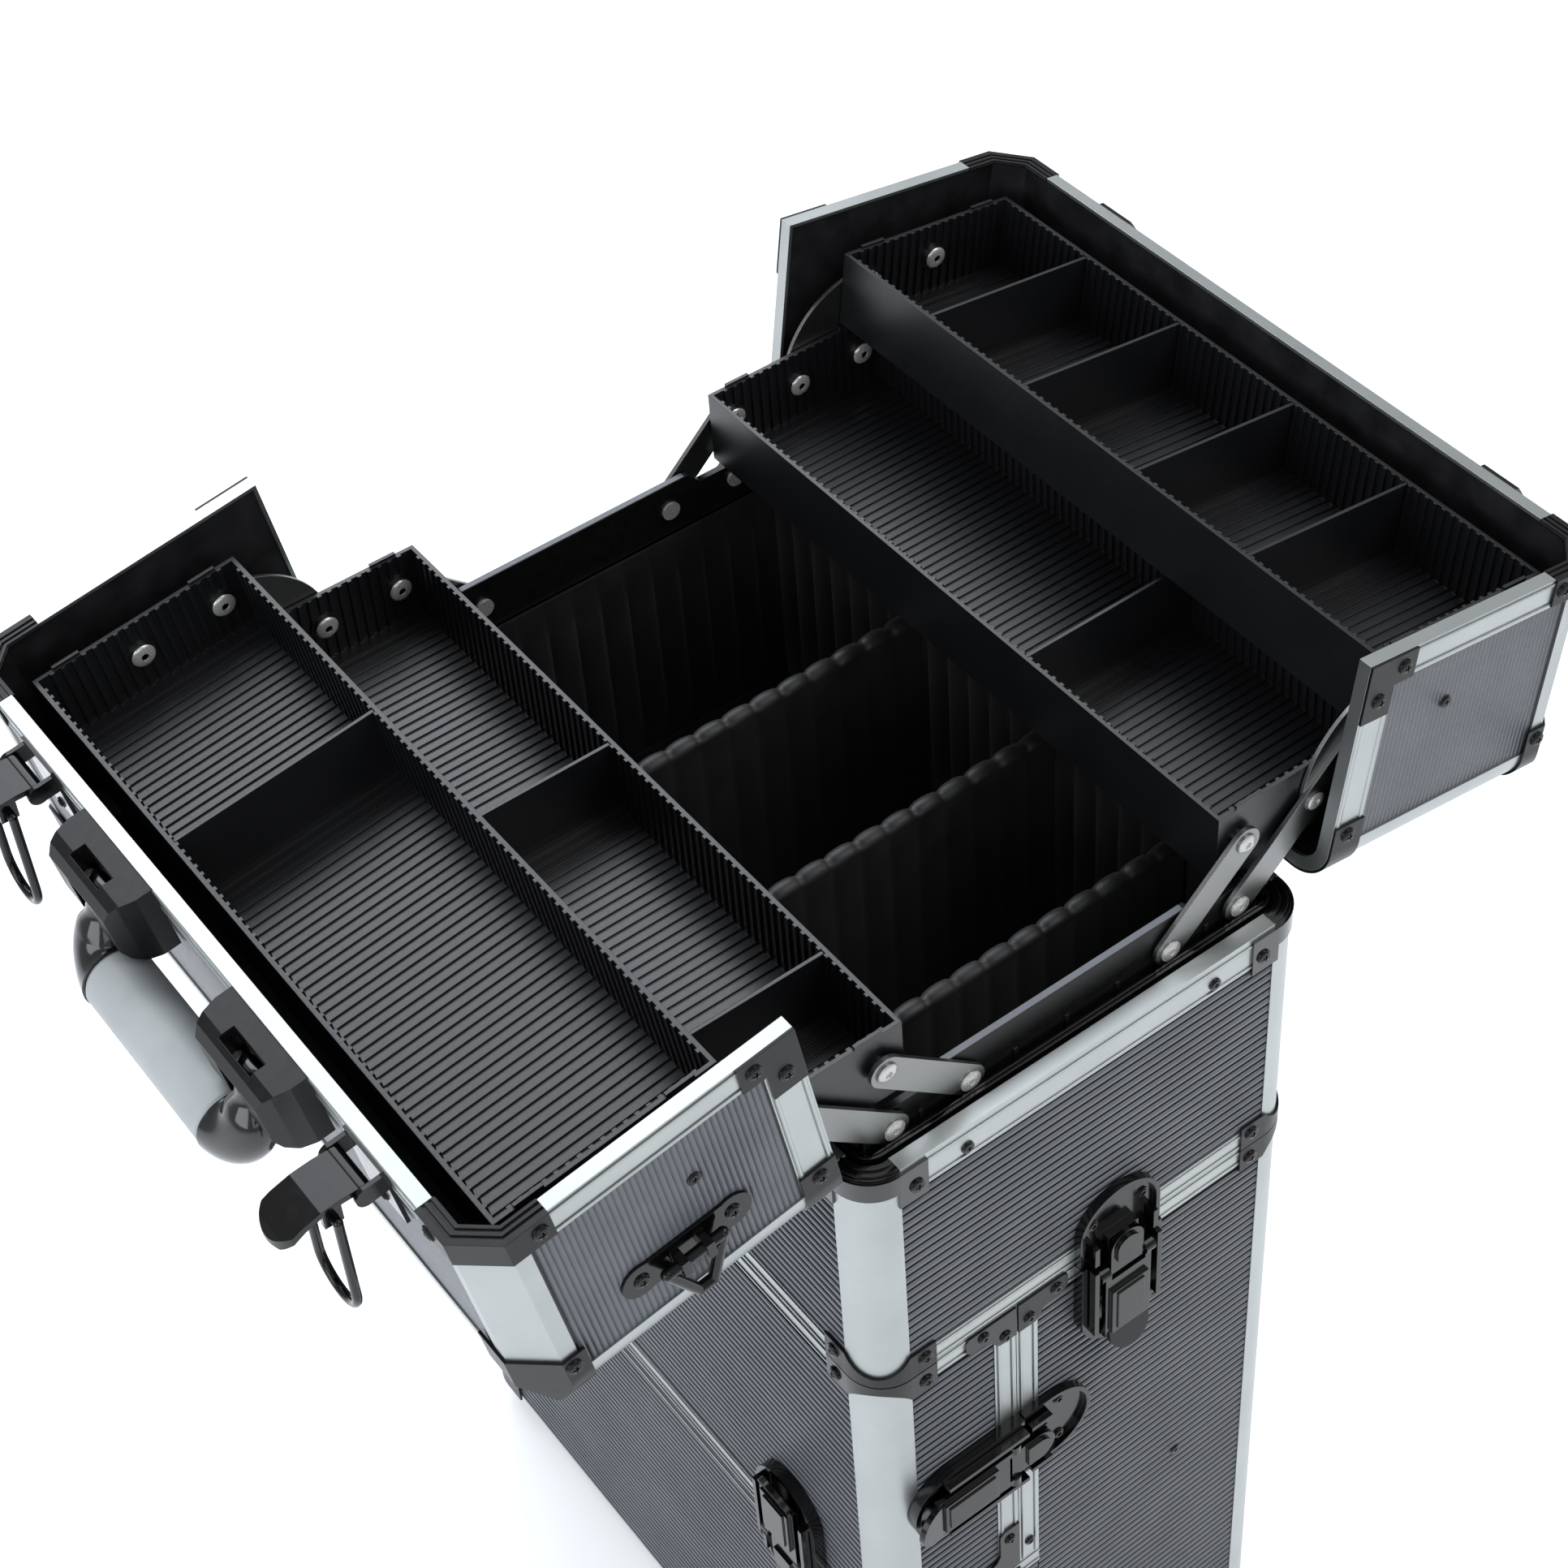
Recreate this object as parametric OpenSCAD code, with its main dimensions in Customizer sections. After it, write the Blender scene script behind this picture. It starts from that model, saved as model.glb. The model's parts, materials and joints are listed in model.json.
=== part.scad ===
// Rolling make-up train case: two half lids, four cantilever trays, lower cabinet with door.
// Millimetres, Z up, X along the case. The lids stand open; z = 0 is the top of the case rim.

/* [Case] */
// Outer length of the case along X
case_l = 364; // [330:1:400]
// Outer width of the case along Y
case_w = 220; // [205:1:240]
// Depth of the train case below its rim
case_d = 132; // [125:1:160]
// Height of the cabinet door
cabinet_h = 195; // [170:1:230]
// Height of the cabinet below the door
base_h = 205; // [170:1:240]
// Radius of the upright corner posts
corner_r = 17; // [14:1:24]
// Thickness of the ribbed board panels
panel_t = 4; // [3:0.5:5]
// Thickness of the aluminium edging over the boards
skin = 1; // [0.8:0.1:1.4]

/* [Lids] */
// Height of each half lid
lid_h = 131.5; // [128:0.5:140]
// Angle each lid opens through from closed
lid_open = 98.8; // [94:0.2:104]
// Leg of the chamfer along the lid's top edges
lid_chamfer = 14; // [8:1:18]

/* [Trays] */
// Length of a tray along X
tray_l = 330; // [300:1:334]
// Width of a tray
tray_w = 92; // [84:1:94]
// Depth of a tray
tray_h = 36; // [30:0.5:36.5]
// Wall thickness of a tray
tray_t = 1.8; // [1.5:0.1:2.4]
// Spacing of the slot teeth and the floor ribs
tooth_pitch = 4.75; // [4:0.25:8]

/* [Linkage] */
// Arm angle above horizontal with the case open
arm_open = 42.5; // [38:0.5:48]
// Pivot distance of the short arm
arm_len = 50.5; // [46:0.5:54]
// Pivot distance of the long arm from the case to the outer tray
long_len = 105.8; // [98:0.2:112]
// Width of the arms
arm_w = 14; // [11:0.5:16]
// Thickness of the arms
arm_t = 2; // [1.5:0.1:2.4]
// Tilt of the outer trays with the case open
tray_tilt = 7.6; // [4:0.2:9]
// Radius of the rivets
pin_r = 2; // [1.6:0.1:2.4]

/* [Running gear] */
// Radius of the trolley wheels
wheel_r = 24; // [20:1:28]
// Length of the trolley handle's travel
trolley_travel = 300; // [250:5:305]

/* [Hidden] */
$fn = 64;

hx = case_l / 2;
hy = case_w / 2;
zc = -case_d;             // joint between case and cabinet
zm = zc - cabinet_h;      // joint under the door
zb = zm - base_h;         // underside of the cabinet
gap = 0.4;                // free gap between neighbouring bodies
fit = 0.05;               // radial running clearance of rivets and pins
strip_h = 10.8;           // height of one edging strip
rim_h = 18;               // height of the rim edging
rim_t = 2;                // thickness of the rim's top flange
rim_w = 7;                // width of the rim's top flange
split_y = -0.178 * case_w; // plane where the door leaves the cabinet
pad = 1.2;                // thickness of the plastic corner pieces
post_w = corner_r + 1;    // reach of a corner post along each face
bracket_reach = corner_r + 13; // reach of a corner bracket along each face
bracket_h = 14;           // height of a bracket's flanges on each side of a joint
band_h = 5.5;             // height of the band round the post
scoop_r = 14;             // radius of the curve from the flange to the band
rim_band = 12;            // depth of the rim corner pieces round the post
wall_in = skin + panel_t; // inner face of a board, from the outer face

hinge_y = hy + 4.5;       // lid hinge axis
hinge_z = 0;
knuckle_r = 3.4;
lid_z0 = 0.5;             // underside of a closed lid
lid_top = lid_z0 + lid_h;
flange_t = 1.6;           // flange closing the board edges of a lid

plate_x = tray_l / 2 - 2; // inner face of the end plates
plate_t = 3.2;
plate_top = 19.3;
arm_x = tray_l / 2 + 2.2; // inner face of the arms
pivot_z = 5;
pa = 49;                  // case pivot of the short arm
pb = 84.5;                // case pivot of the long arm
spread = pb - pa;
link_in = 35;             // second link pivot on the inner tray, from the long arm
link_out = 37.4;          // the same on the outer tray
qa = [pa + arm_len * cos(arm_open), pivot_z + arm_len * sin(arm_open)];
qb = [qa[0] + spread, qa[1]];
qc = [qb[0] + link_in, qb[1]];
ob = [pb + long_len * cos(arm_open), pivot_z + long_len * sin(arm_open)];
oc = [ob[0] + link_out * cos(tray_tilt), ob[1] - link_out * sin(tray_tilt)];
pin_in = 10.7;            // tray pivot from the tray's inner edge
pin_out = 12.1;
pin_down = 16.3;          // tray pivot below the tray's rim
boss_r = 6.5;
tooth_d = 1;

// ---------- shared shapes ----------

module plan(i) {
  r = corner_r - i;
  square([2 * (hx - i - r), 2 * (hy - i)], center = true);
  square([2 * (hx - i), 2 * (hy - i - r)], center = true);
  for (sx = [-1, 1], sy = [-1, 1]) translate([sx * (hx - i - r), sy * (hy - i - r)]) circle(r);
}

module prism(i, z0, z1) translate([0, 0, z0]) linear_extrude(z1 - z0) plan(i);

// a ring of the plan between two insets
module ring(i0, i1, z0, z1) difference() {
  prism(i0, z0, z1);
  prism(i1, z0 - 1, z1 + 1);
}

// the four corner columns, reaching w along each face
module columns(w, z0, z1) for (sx = [-1, 1], sy = [-1, 1])
  translate([sx * (hx + 5 - w / 2 - 2.5), sy * (hy + 5 - w / 2 - 2.5), (z0 + z1) / 2])
    cube([w + 5, w + 5, z1 - z0], center = true);

module box(a, b) translate(a) cube([b[0] - a[0], b[1] - a[1], b[2] - a[2]]);

// X-facing outline: a YZ polygon extruded from x0 to x1
module slab_x(x0, x1) translate([x0, 0, 0]) rotate([90, 0, 90]) linear_extrude(x1 - x0) children();

module disc_x(x0, x1, r, y, z) translate([x0, y, z]) rotate([0, 90, 0]) cylinder(r = r, h = x1 - x0);

module both_ends() {
  children();
  mirror([1, 0, 0]) children();
}

module side(s) mirror([0, s < 0 ? 1 : 0, 0]) children();

module lid_pose(s) side(s) translate([0, hinge_y, hinge_z]) rotate([-lid_open, 0, 0])
  translate([0, -hinge_y, -hinge_z]) children();

// a domed black screw with its head standing out along +Z
module screw(r = 3.2) difference() {
  union() {
    cylinder(r = r, h = 0.8);
    translate([0, 0, 0.8]) cylinder(r = r - 0.7, h = 0.5);
  }
  translate([0, 0, 0.7]) cylinder(r = 1.3, h = 1, $fn = 6);
}

module tub_posts(z0, z1) intersection() {
  ring(0, skin, z0, z1);
  columns(post_w, z0, z1);
}

module tub_strip(z0, z1) difference() {
  ring(0, skin, z0, z1);
  columns(post_w, z0 - 1, z1 + 1);
}

// ---------- train case ----------

module case_shell() color([0.25, 0.25, 0.27]) difference() {
  prism(skin, zc, -rim_t);
  prism(wall_in, zc + panel_t, 1);
}

module case_frame() color([0.8, 0.8, 0.8]) {
  tub_posts(zc, -rim_band);
  tub_strip(zc, zc + strip_h);
}

// straight rim sections between the corner pieces
module case_rim() color([0.85, 0.85, 0.86]) difference() {
  union() {
    ring(0, skin, -rim_h, -rim_t);
    ring(0, rim_w, -rim_t, 0);
  }
  columns(post_w, -rim_h - 1, 1);
}

// black channel inside the rim, with the ridged corner pieces
module rim_channel() color([0.05, 0.05, 0.05]) {
  difference() {
    union() {
      ring(rim_w, rim_w + 7, -6, -3);
      ring(rim_w, rim_w + 2, -8, -6);
      ring(rim_w + 1.6, rim_w + 2.8, -3, 1.2);
      ring(rim_w + 3.4, rim_w + 4.6, -3, 1.2);
    }
    both_ends() {
      box([plate_x - gap, -pb - 13, -9], [plate_x + plate_t + gap, pb + 13, 2]);
      box([plate_x, -pb - arm_w, -3], [arm_x + arm_t + 1.6, pb + arm_w, 2]);
    }
  }
  intersection() {
    columns(post_w, -rim_h, 1);
    union() {
      ring(0, skin, -rim_band, -rim_t);
      ring(0, rim_w, -rim_t, -0.6);
      ring(1.2, 2.6, -0.6, 0.3);
      ring(4.2, 5.6, -0.6, 0.3);
      ring(-pad, 0, -rim_band, -rim_t);
    }
  }
  intersection() {
    ring(-pad, 0, -rim_h - 3, -rim_t);
    difference() {
      columns(bracket_reach, -rim_h - 3, -rim_t);
      columns(post_w - 1.5, -rim_h - 4, -rim_band + 1);
    }
  }
}

liner_x = plate_x - 0.6;
liner_y = hy - wall_in - gap;
liner_t = 3;
groove_pitch = 20;

module well_liner() color([0.03, 0.03, 0.03]) {
  difference() {
    intersection() {
      prism(wall_in + gap, zc + panel_t, -8);
      box([-liner_x, -liner_y, zc + panel_t], [liner_x, liner_y, -8]);
    }
    box([-liner_x + liner_t, -liner_y + liner_t, zc + panel_t + liner_t],
      [liner_x - liner_t, liner_y - liner_t, 1]);
    for (x = [-7.5 : 7.5], s = [-1, 1])
      translate([x * groove_pitch, s * (liner_y - liner_t), zc + panel_t + liner_t])
        cylinder(r = 1.3, h = case_d);
    for (y = [-4 : 4], s = [-1, 1])
      translate([s * (liner_x - liner_t), y * groove_pitch, zc + panel_t + liner_t])
        cylinder(r = 1.3, h = case_d);
  }
  difference() {
    prism(wall_in + gap, -10, -8);
    box([-liner_x, -liner_y, -11], [liner_x, liner_y, -7]);
  }
}

divider_x = [for (f = [-0.17, 0.106, 0.352]) f * tray_l];
divider_t = 8;

module well_dividers() color([0.04, 0.04, 0.04]) for (x = divider_x)
  translate([x, 0, 0]) difference() {
    union() {
      box([-divider_t / 2, -liner_y + liner_t + gap, zc + panel_t + liner_t],
        [divider_t / 2, liner_y - liner_t - gap, -16]);
      translate([0, -liner_y + liner_t + gap, -16]) rotate([-90, 0, 0])
        cylinder(r = divider_t / 2, h = 2 * (liner_y - liner_t - gap));
    }
    for (y = [-4.5 : 4.5], s = [-1, 1]) translate([s * (divider_t / 2 + 0.4), y * 20, zc + 5])
      cylinder(r = 1.3, h = case_d);
  }

module end_plate_outline() difference() {
  polygon([[-pb - 12, -8], [pb + 12, -8], [pb + 12, 3], [pb + 5, 12.6], [66, 12.6],
    [60, plate_top], [-60, plate_top], [-66, 12.6], [-pb - 5, 12.6], [-pb - 12, 3]]);
  for (s = [-1, 1], y = [pa, pb]) translate([s * y, pivot_z]) circle(pin_r);
}

module end_plates() color([0.05, 0.05, 0.05]) both_ends() difference() {
  union() {
    slab_x(plate_x, plate_x + plate_t) end_plate_outline();
    box([plate_x + plate_t - 0.1, -pb, -8], [hx - rim_w - 2.4, pb, -6.2]);
    for (y = [-70, -25, 0, 25, 70]) box([plate_x + plate_t, y - 1, -8], [plate_x + plate_t + 0.6, y + 1, 2]);
  }
  for (y = [-75, 75]) translate([plate_x + plate_t + 3, y, -9]) cylinder(r = 1.6, h = 4);
}

module rivet(y, z) {
  disc_x(plate_x - 1.2, plate_x, pin_r + 2.5, y, z);
  disc_x(plate_x - 0.1, arm_x + arm_t + 0.2, pin_r, y, z);
  disc_x(plate_x + plate_t, arm_x - 0.1, pin_r + 1.6, y, z);
  disc_x(arm_x + arm_t + 0.1, arm_x + arm_t + 0.8, pin_r + 2.6, y, z);
  disc_x(arm_x + arm_t + 0.7, arm_x + arm_t + 1.2, pin_r + 1.4, y, z);
}

module pivot_rivets() color([0.7, 0.7, 0.72]) both_ends()
  for (s = [-1, 1], y = [pa, pb]) rivet(s * y, pivot_z);

// ---------- cabinet: a tall back part, and a lower front part under the door ----------

module behind(z0, z1) box([-hx - 9, split_y, z0], [hx + 9, hy + 9, z1]);
module before(z0, z1) box([-hx - 9, -hy - 9, z0], [hx + 9, split_y - gap, z1]);

module below(z0, z1) box([-hx - 9, -hy - 9, z0], [hx + 9, split_y, z1]);

module cabinet_shell() color([0.25, 0.25, 0.27]) difference() {
  union() {
    prism(skin, zb, zm);
    intersection() {
      prism(skin, zb, zc);
      behind(zb, zc);
    }
  }
  prism(wall_in, zb + panel_t, zm - panel_t);
  intersection() {
    prism(wall_in, zb + panel_t, zc - panel_t);
    behind(zb, zc);
  }
  wheel_wells(0);
}

wheel_x = hx - wheel_r;
wheel_y = hy - 31;
wheel_z = zb + 9;
wheel_w = 18;
well_t = 2;

module wheel_wells(i) for (s = [-1, 1]) intersection() {
  prism(skin - 1, zb - 5, zm);
  box([-hx - 1, s * wheel_y - wheel_w / 2 - 4 + i, zb - 5],
    [-hx + 2 * wheel_r + 8 - i, s * wheel_y + wheel_w / 2 + 4 - i, wheel_z + wheel_r + 6 - i]);
}

frame_w = 11;             // width of the upright edging strips beside the split

module lower_frame() color([0.8, 0.8, 0.8]) difference() {
  union() {
    intersection() {
      behind(zb, zc);
      union() {
        tub_posts(zb, zc);
        tub_strip(zc - strip_h, zc);
        both_ends() box([hx - skin, split_y, zm], [hx, split_y + frame_w, zc]);
      }
    }
    intersection() {
      tub_posts(zb, zm);
      below(zb, zm);
    }
    intersection() {
      tub_strip(zm - strip_h, zm);
      translate([0, frame_w, 0]) below(zb, zm);
    }
  }
  prism(skin, zb - 1, zc + 1);
  wheel_wells(0);
}

// one wrapped corner bracket: a thin band round the post between taller flanges
module bracket_ring(z, d) difference() {
  intersection() {
    ring(-pad, 0, z - bracket_h - 1, z + bracket_h + 1);
    columns(bracket_reach, d > 0 ? z + 0.3 : z - bracket_h, d > 0 ? z + bracket_h : z - 0.3);
  }
  for (sx = [-1, 1], sy = [-1, 1])
    translate([sx * (hx - corner_r), sy * (hy - corner_r), z + d * (band_h + scoop_r)])
      rotate([0, 0, atan2(sy, sx)]) rotate([0, 90, 0]) cylinder(r = scoop_r, h = 3 * corner_r);
}

// L-shaped bracket over the corner of the edging: su along Y, sv along Z, leg up the strip
module edge_bracket(su, sv, leg) slab_x(0, pad) mirror([su < 0 ? 1 : 0, 0]) mirror([0, sv < 0 ? 1 : 0])
  polygon([[0.3, 0.8], [24.5, 0.8], [26, 2.3], [26, 9], [23.5, 11.4], [17, 11.4], [13, 13.4], [11, 17],
    [11, leg - 2], [9, leg], [0.3, leg]]);

module frame_brackets() color([0.06, 0.06, 0.06]) {
  bracket_ring(zc, 1);
  intersection() {
    behind(zb - 9, zc);
    bracket_ring(zc, -1);
  }
  intersection() {
    below(zb - 9, zc);
    bracket_ring(zm, -1);
  }
  difference() {
    bracket_ring(zb, 1);
    wheel_wells(0);
  }
  both_ends() translate([hx, split_y, zc]) edge_bracket(1, -1, 19);
}

screw_x = hx - bracket_reach + 5.5;
screw_y = hy - bracket_reach + 5.5;
screw_z = 8;              // distance of the bracket screws from a joint

module corner_screws(z, ys = [-1, 1], xs = [-1, 1]) for (sx = xs, sy = ys) {
  translate([sx * (hx + pad), sy * screw_y, z]) rotate([0, sx * 90, 0]) screw();
  translate([sx * screw_x, sy * (hy + pad), z]) rotate([-sy * 90, 0, 0]) screw();
}

module frame_screws() color([0.04, 0.04, 0.04]) {
  corner_screws(zc + screw_z);
  corner_screws(zc - screw_z, [1]);
  corner_screws(zm - screw_z, [-1]);
  corner_screws(zb + screw_z, xs = [1]);
  corner_screws(-rim_h + 5);
  both_ends() {
    for (p = [[6, -13.5], [20, -6]])
      translate([hx + pad, split_y + p[0], zc + p[1]]) rotate([0, 90, 0]) screw(2.8);
    translate([hx, split_y + frame_w / 2, zm + 12]) rotate([0, 90, 0]) screw(2.4);
    translate([hx, split_y - 2, zm - strip_h / 2]) rotate([0, 90, 0]) screw(2.4);
    translate([hx - skin, 52, zm - 3]) rotate([0, 90, 0]) screw(2.8);
    for (y = [-61, 61]) translate([hx, y, -rim_h + 6]) rotate([0, 90, 0]) screw(2.8);
  }
}

module base_plate() color([0.05, 0.05, 0.05]) {
  difference() {
    prism(3, zb - 3, zb);
    wheel_wells(-0.01);
  }
  for (s = [-1, 1]) translate([hx - 34, s * (hy - 34), 0]) {
    translate([0, 0, wheel_z - wheel_r]) cylinder(r = 13, h = 6);
    translate([0, 0, wheel_z - wheel_r + 5.9]) cylinder(r = 16, h = zb - 2.9 - (wheel_z - wheel_r + 5.9));
  }
  difference() {
    wheel_wells(0.3);
    wheel_wells(0.3 + well_t);
    for (s = [-1, 1]) box([-hx - 2, s * wheel_y - wheel_w / 2 - 1.7, zb - 2],
      [-hx + 2 * wheel_r + 5.7, s * wheel_y + wheel_w / 2 + 1.7, wheel_z + wheel_r + 3.7]);
    for (s = [-1, 1]) translate([-wheel_x, s * wheel_y - 20, wheel_z]) rotate([-90, 0, 0])
      cylinder(r = 4 + fit, h = 40);
  }
}

module wheel(s) color([0.08, 0.08, 0.08]) translate([-wheel_x, s * wheel_y, wheel_z]) rotate([90, 0, 0]) {
  difference() {
    union() {
      translate([0, 0, -wheel_w / 2 + 3]) cylinder(r = wheel_r, h = wheel_w - 6);
      translate([0, 0, -wheel_w / 2]) cylinder(r = wheel_r - 2, h = wheel_w);
    }
    for (t = [-1, 1]) translate([0, 0, t * (wheel_w / 2 - 1)]) difference() {
      cylinder(r = wheel_r - 6, h = 4, center = true);
      cylinder(r = 8, h = 5, center = true);
    }
    for (a = [0 : 60 : 300])
      rotate([0, 0, a]) translate([12.5, 0, -wheel_w]) cylinder(r = 3.2, h = 2 * wheel_w);
  }
  cylinder(r = 4, h = wheel_w + 7, center = true);
}

module wheel_front() wheel(-1);
module wheel_back() wheel(1);

// ---------- trolley handle ----------

tube_y = [-26, 54];
tube_x = -hx - 11;
tube_top = zc + 60;
tube_bottom = zb + 30;
rod_bottom = tube_top - trolley_travel - 50;
grip_low = -62;

module trolley_tubes() color([0.7, 0.7, 0.72]) for (y = tube_y) translate([tube_x, y, 0]) {
  difference() {
    union() {
      translate([0, 0, tube_bottom]) cylinder(r = 8, h = tube_top - tube_bottom);
      for (z = [tube_bottom + 2, zm - 30, (zm + zc) / 2 - 6]) box([0, -11, z], [-hx - tube_x, 11, z + 12]);
    }
    translate([0, 0, tube_bottom + 4]) cylinder(r = 6.2 + fit, h = tube_top - tube_bottom);
  }
}

module trolley_handle() color([0.75, 0.75, 0.77]) translate([tube_x, 0, 0]) {
  for (y = tube_y) translate([0, y, rod_bottom]) cylinder(r = 6.2, h = grip_low + 1 - rod_bottom);
  rotate([90, 0, 90]) linear_extrude(16, center = true) difference() {
    union() {
      translate([tube_y[0] - 12, grip_low]) square([tube_y[1] - tube_y[0] + 24, 18]);
      for (y = [tube_y[0] - 4, tube_y[1] + 4]) translate([y, grip_low + 18]) circle(8);
      translate([tube_y[0] - 4, grip_low + 10]) square([tube_y[1] - tube_y[0] + 8, 16]);
    }
    translate([tube_y[0] + 14, grip_low - 1]) square([tube_y[1] - tube_y[0] - 28, 12]);
  }
}

// ---------- latches ----------

latch_y = 12;
latch_z = zc - 98;
low_x = 115;
latch_pin_u = -8;
latch_pin_w = 6.5;

// local frame: +Y towards the keeper, +Z out of the panel, origin on the joint line
module on_line_latch() translate([hx, latch_y, zc]) rotate([90, 0, 90]) children();
module on_door_latch() translate([hx, split_y, latch_z]) rotate([0, 90, 0]) children();
module on_low_latch(s) translate([s * low_x, -hy, zm]) rotate([90, 0, 0]) rotate([0, 0, 180]) children();

module latch_outline(r, len) intersection() {
  translate([-r, 0]) square([2 * r, len]);
  union() {
    translate([-r, 0]) square([2 * r, len - r]);
    translate([0, len - r]) circle(r);
  }
}

latch_w = 21;             // half width of the latch plates

module latch_base() {
  translate([0, -gap, 0]) mirror([0, 1, 0]) {
    linear_extrude(1.6) latch_outline(latch_w, 58);
    linear_extrude(5.4) difference() {
      latch_outline(latch_w, 58);
      translate([0, -1]) latch_outline(latch_w - 2.6, 56.4);
    }
    for (s = [-1, 1]) translate([s * 16.6 - 1.2, 1, 0]) cube([2.4, 42, 9.5]);
  }
  translate([0, latch_pin_u, latch_pin_w]) rotate([0, 90, 0]) cylinder(r = 2, h = 34, center = true);
  translate([0, latch_pin_u - 2, 6.3]) linear_extrude(2.2) latch_outline(8.6, 23);
  translate([0, -2, 8.4]) linear_extrude(1.4) latch_outline(6, 12.4);
}

module latch_keeper() {
  translate([0, gap, 0]) {
    linear_extrude(1.6) latch_outline(latch_w, 36);
    translate([-8, 4, 1.5]) cube([16, 7, 4.2]);
    linear_extrude(4) difference() {
      latch_outline(latch_w, 36);
      translate([0, -1]) latch_outline(latch_w - 2, 35);
    }
    for (s = [-1, 1]) {
      translate([s * 15.4 - 1.2, 1, 0]) cube([2.4, 11, 8]);
      translate([s * 13, 20, 1.5]) screw(2.6);
    }
  }
}

// lever with a two-step raised face and a rounded thumb tab
module latch_lever() difference() {
  union() {
    translate([-12, -50, 6.9]) cube([24, 40, 2.6]);
    translate([-9.6, -47, 9.4]) cube([19.2, 28, 1.7]);
    translate([-7, -45, 11]) cube([14, 24, 0.8]);
    for (s = [-1, 1]) translate([s * 11.8, latch_pin_u, latch_pin_w]) rotate([0, 90, 0])
      cylinder(r = 3.6, h = 4.8, center = true);
    translate([0, -47, 7.3]) rotate([-14, 0, 0]) translate([0, -4, 0]) cylinder(r = 10.4, h = 2.6);
  }
  translate([0, latch_pin_u, latch_pin_w]) rotate([0, 90, 0]) cylinder(r = 2 + fit, h = 40, center = true);
  translate([-8.9, -12, 3]) cube([17.8, 12, 8]);
}

module latch_bases() color([0.06, 0.06, 0.06]) {
  both_ends() on_line_latch() {
    latch_base();
    latch_keeper();
  }
  on_door_latch() latch_keeper();
  for (s = [-1, 1]) on_low_latch(s) latch_keeper();
}

module latch_lever_near() color([0.08, 0.08, 0.08]) on_line_latch() latch_lever();
module latch_lever_far() color([0.08, 0.08, 0.08]) mirror([1, 0, 0]) on_line_latch() latch_lever();
module latch_lever_door() color([0.08, 0.08, 0.08]) on_door_latch() latch_lever();
module latch_lever_low_near() color([0.08, 0.08, 0.08]) on_low_latch(1) latch_lever();
module latch_lever_low_far() color([0.08, 0.08, 0.08]) on_low_latch(-1) latch_lever();

// ---------- cabinet door ----------

door_hinge_x = -hx - 4.5;
door_hinge_y = split_y - gap / 2;
leaf_t = 0.8;

module door_shell() color([0.25, 0.25, 0.27]) intersection() {
  before(zm + gap, zc - gap);
  difference() {
    prism(skin, zm + gap, zc - gap);
    prism(wall_in, zm + panel_t, zc - panel_t);
  }
}

module door_frame() color([0.8, 0.8, 0.8]) difference() {
  intersection() {
    before(zm + gap, zc - gap);
    union() {
      tub_posts(zm, zc);
      tub_strip(zm, zm + strip_h);
      tub_strip(zc - strip_h, zc);
      both_ends() box([hx - skin, split_y - gap - 11, zm], [hx, split_y, zc]);
    }
  }
  prism(skin, zm - 1, zc + 1);
}

module door_hardware() color([0.06, 0.06, 0.06]) {
  intersection() {
    before(zm + gap, zc - gap);
    union() {
      bracket_ring(zc, -1);
      bracket_ring(zm, 1);
      both_ends() translate([hx, split_y - gap, zc]) edge_bracket(-1, -1, 19);
      both_ends() translate([hx, split_y - gap, zm]) edge_bracket(-1, 1, 34);
    }
  }
  for (z = [zc - screw_z, zm + screw_z]) corner_screws(z, [-1]);
  both_ends() for (p = [[6, zc - 15], [17, zc - 6], [5.5, zm + 26]])
    translate([hx + pad, split_y - gap - p[0], p[1]]) rotate([0, 90, 0]) screw(2.8);
  on_door_latch() latch_base();
  for (s = [-1, 1]) on_low_latch(s) latch_base();
  for (z = door_knuckles) door_knuckle(z, -1);
}

// door hinge: knuckles on the far end face, the door's between the cabinet's
door_knuckles = [zm + 52, zc - 56];

module door_knuckle(z, s) difference() {
  union() {
    translate([door_hinge_x, door_hinge_y, z]) cylinder(r = knuckle_r, h = 16);
    translate([-hx - leaf_t, s > 0 ? split_y : split_y - gap - 14, z]) cube([leaf_t, 14, 16]);
    translate([door_hinge_x, s > 0 ? door_hinge_y : door_hinge_y - knuckle_r, z]) cube([4.4, knuckle_r, 16]);
  }
  translate([door_hinge_x, door_hinge_y, z - 1]) cylinder(r = 1.5 + (s > 0 ? 0 : fit), h = 18);
}

// ---------- lid hinges ----------

knuckle_l = 24;
knuckle_n = 9;

module knuckle_row(first) for (i = [first : 2 : knuckle_n - 1])
  translate([(i - knuckle_n / 2) * (knuckle_l + gap), 0, 0]) children();

module hinges() color([0.7, 0.7, 0.72]) {
  for (s = [-1, 1]) side(s) {
    knuckle_row(0) {
      disc_x(0, knuckle_l, knuckle_r, hinge_y, hinge_z);
      box([0, hy + leaf_t - 0.1, -4.5], [knuckle_l, hinge_y - 1, -1.6]);
    }
    box([-knuckle_n * (knuckle_l + gap) / 2, hy, -18], [knuckle_n * (knuckle_l + gap) / 2, hy + leaf_t, -1.6]);
    disc_x(-knuckle_n * (knuckle_l + gap) / 2, knuckle_n * (knuckle_l + gap) / 2, 1.4, hinge_y, hinge_z);
  }
  for (z = door_knuckles) for (dz = [-16.4, 16.4]) door_knuckle(z + dz, 1);
  for (z = door_knuckles) translate([door_hinge_x, door_hinge_y, z - 16.4]) cylinder(r = 1.5, h = 48.8);
}

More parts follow.
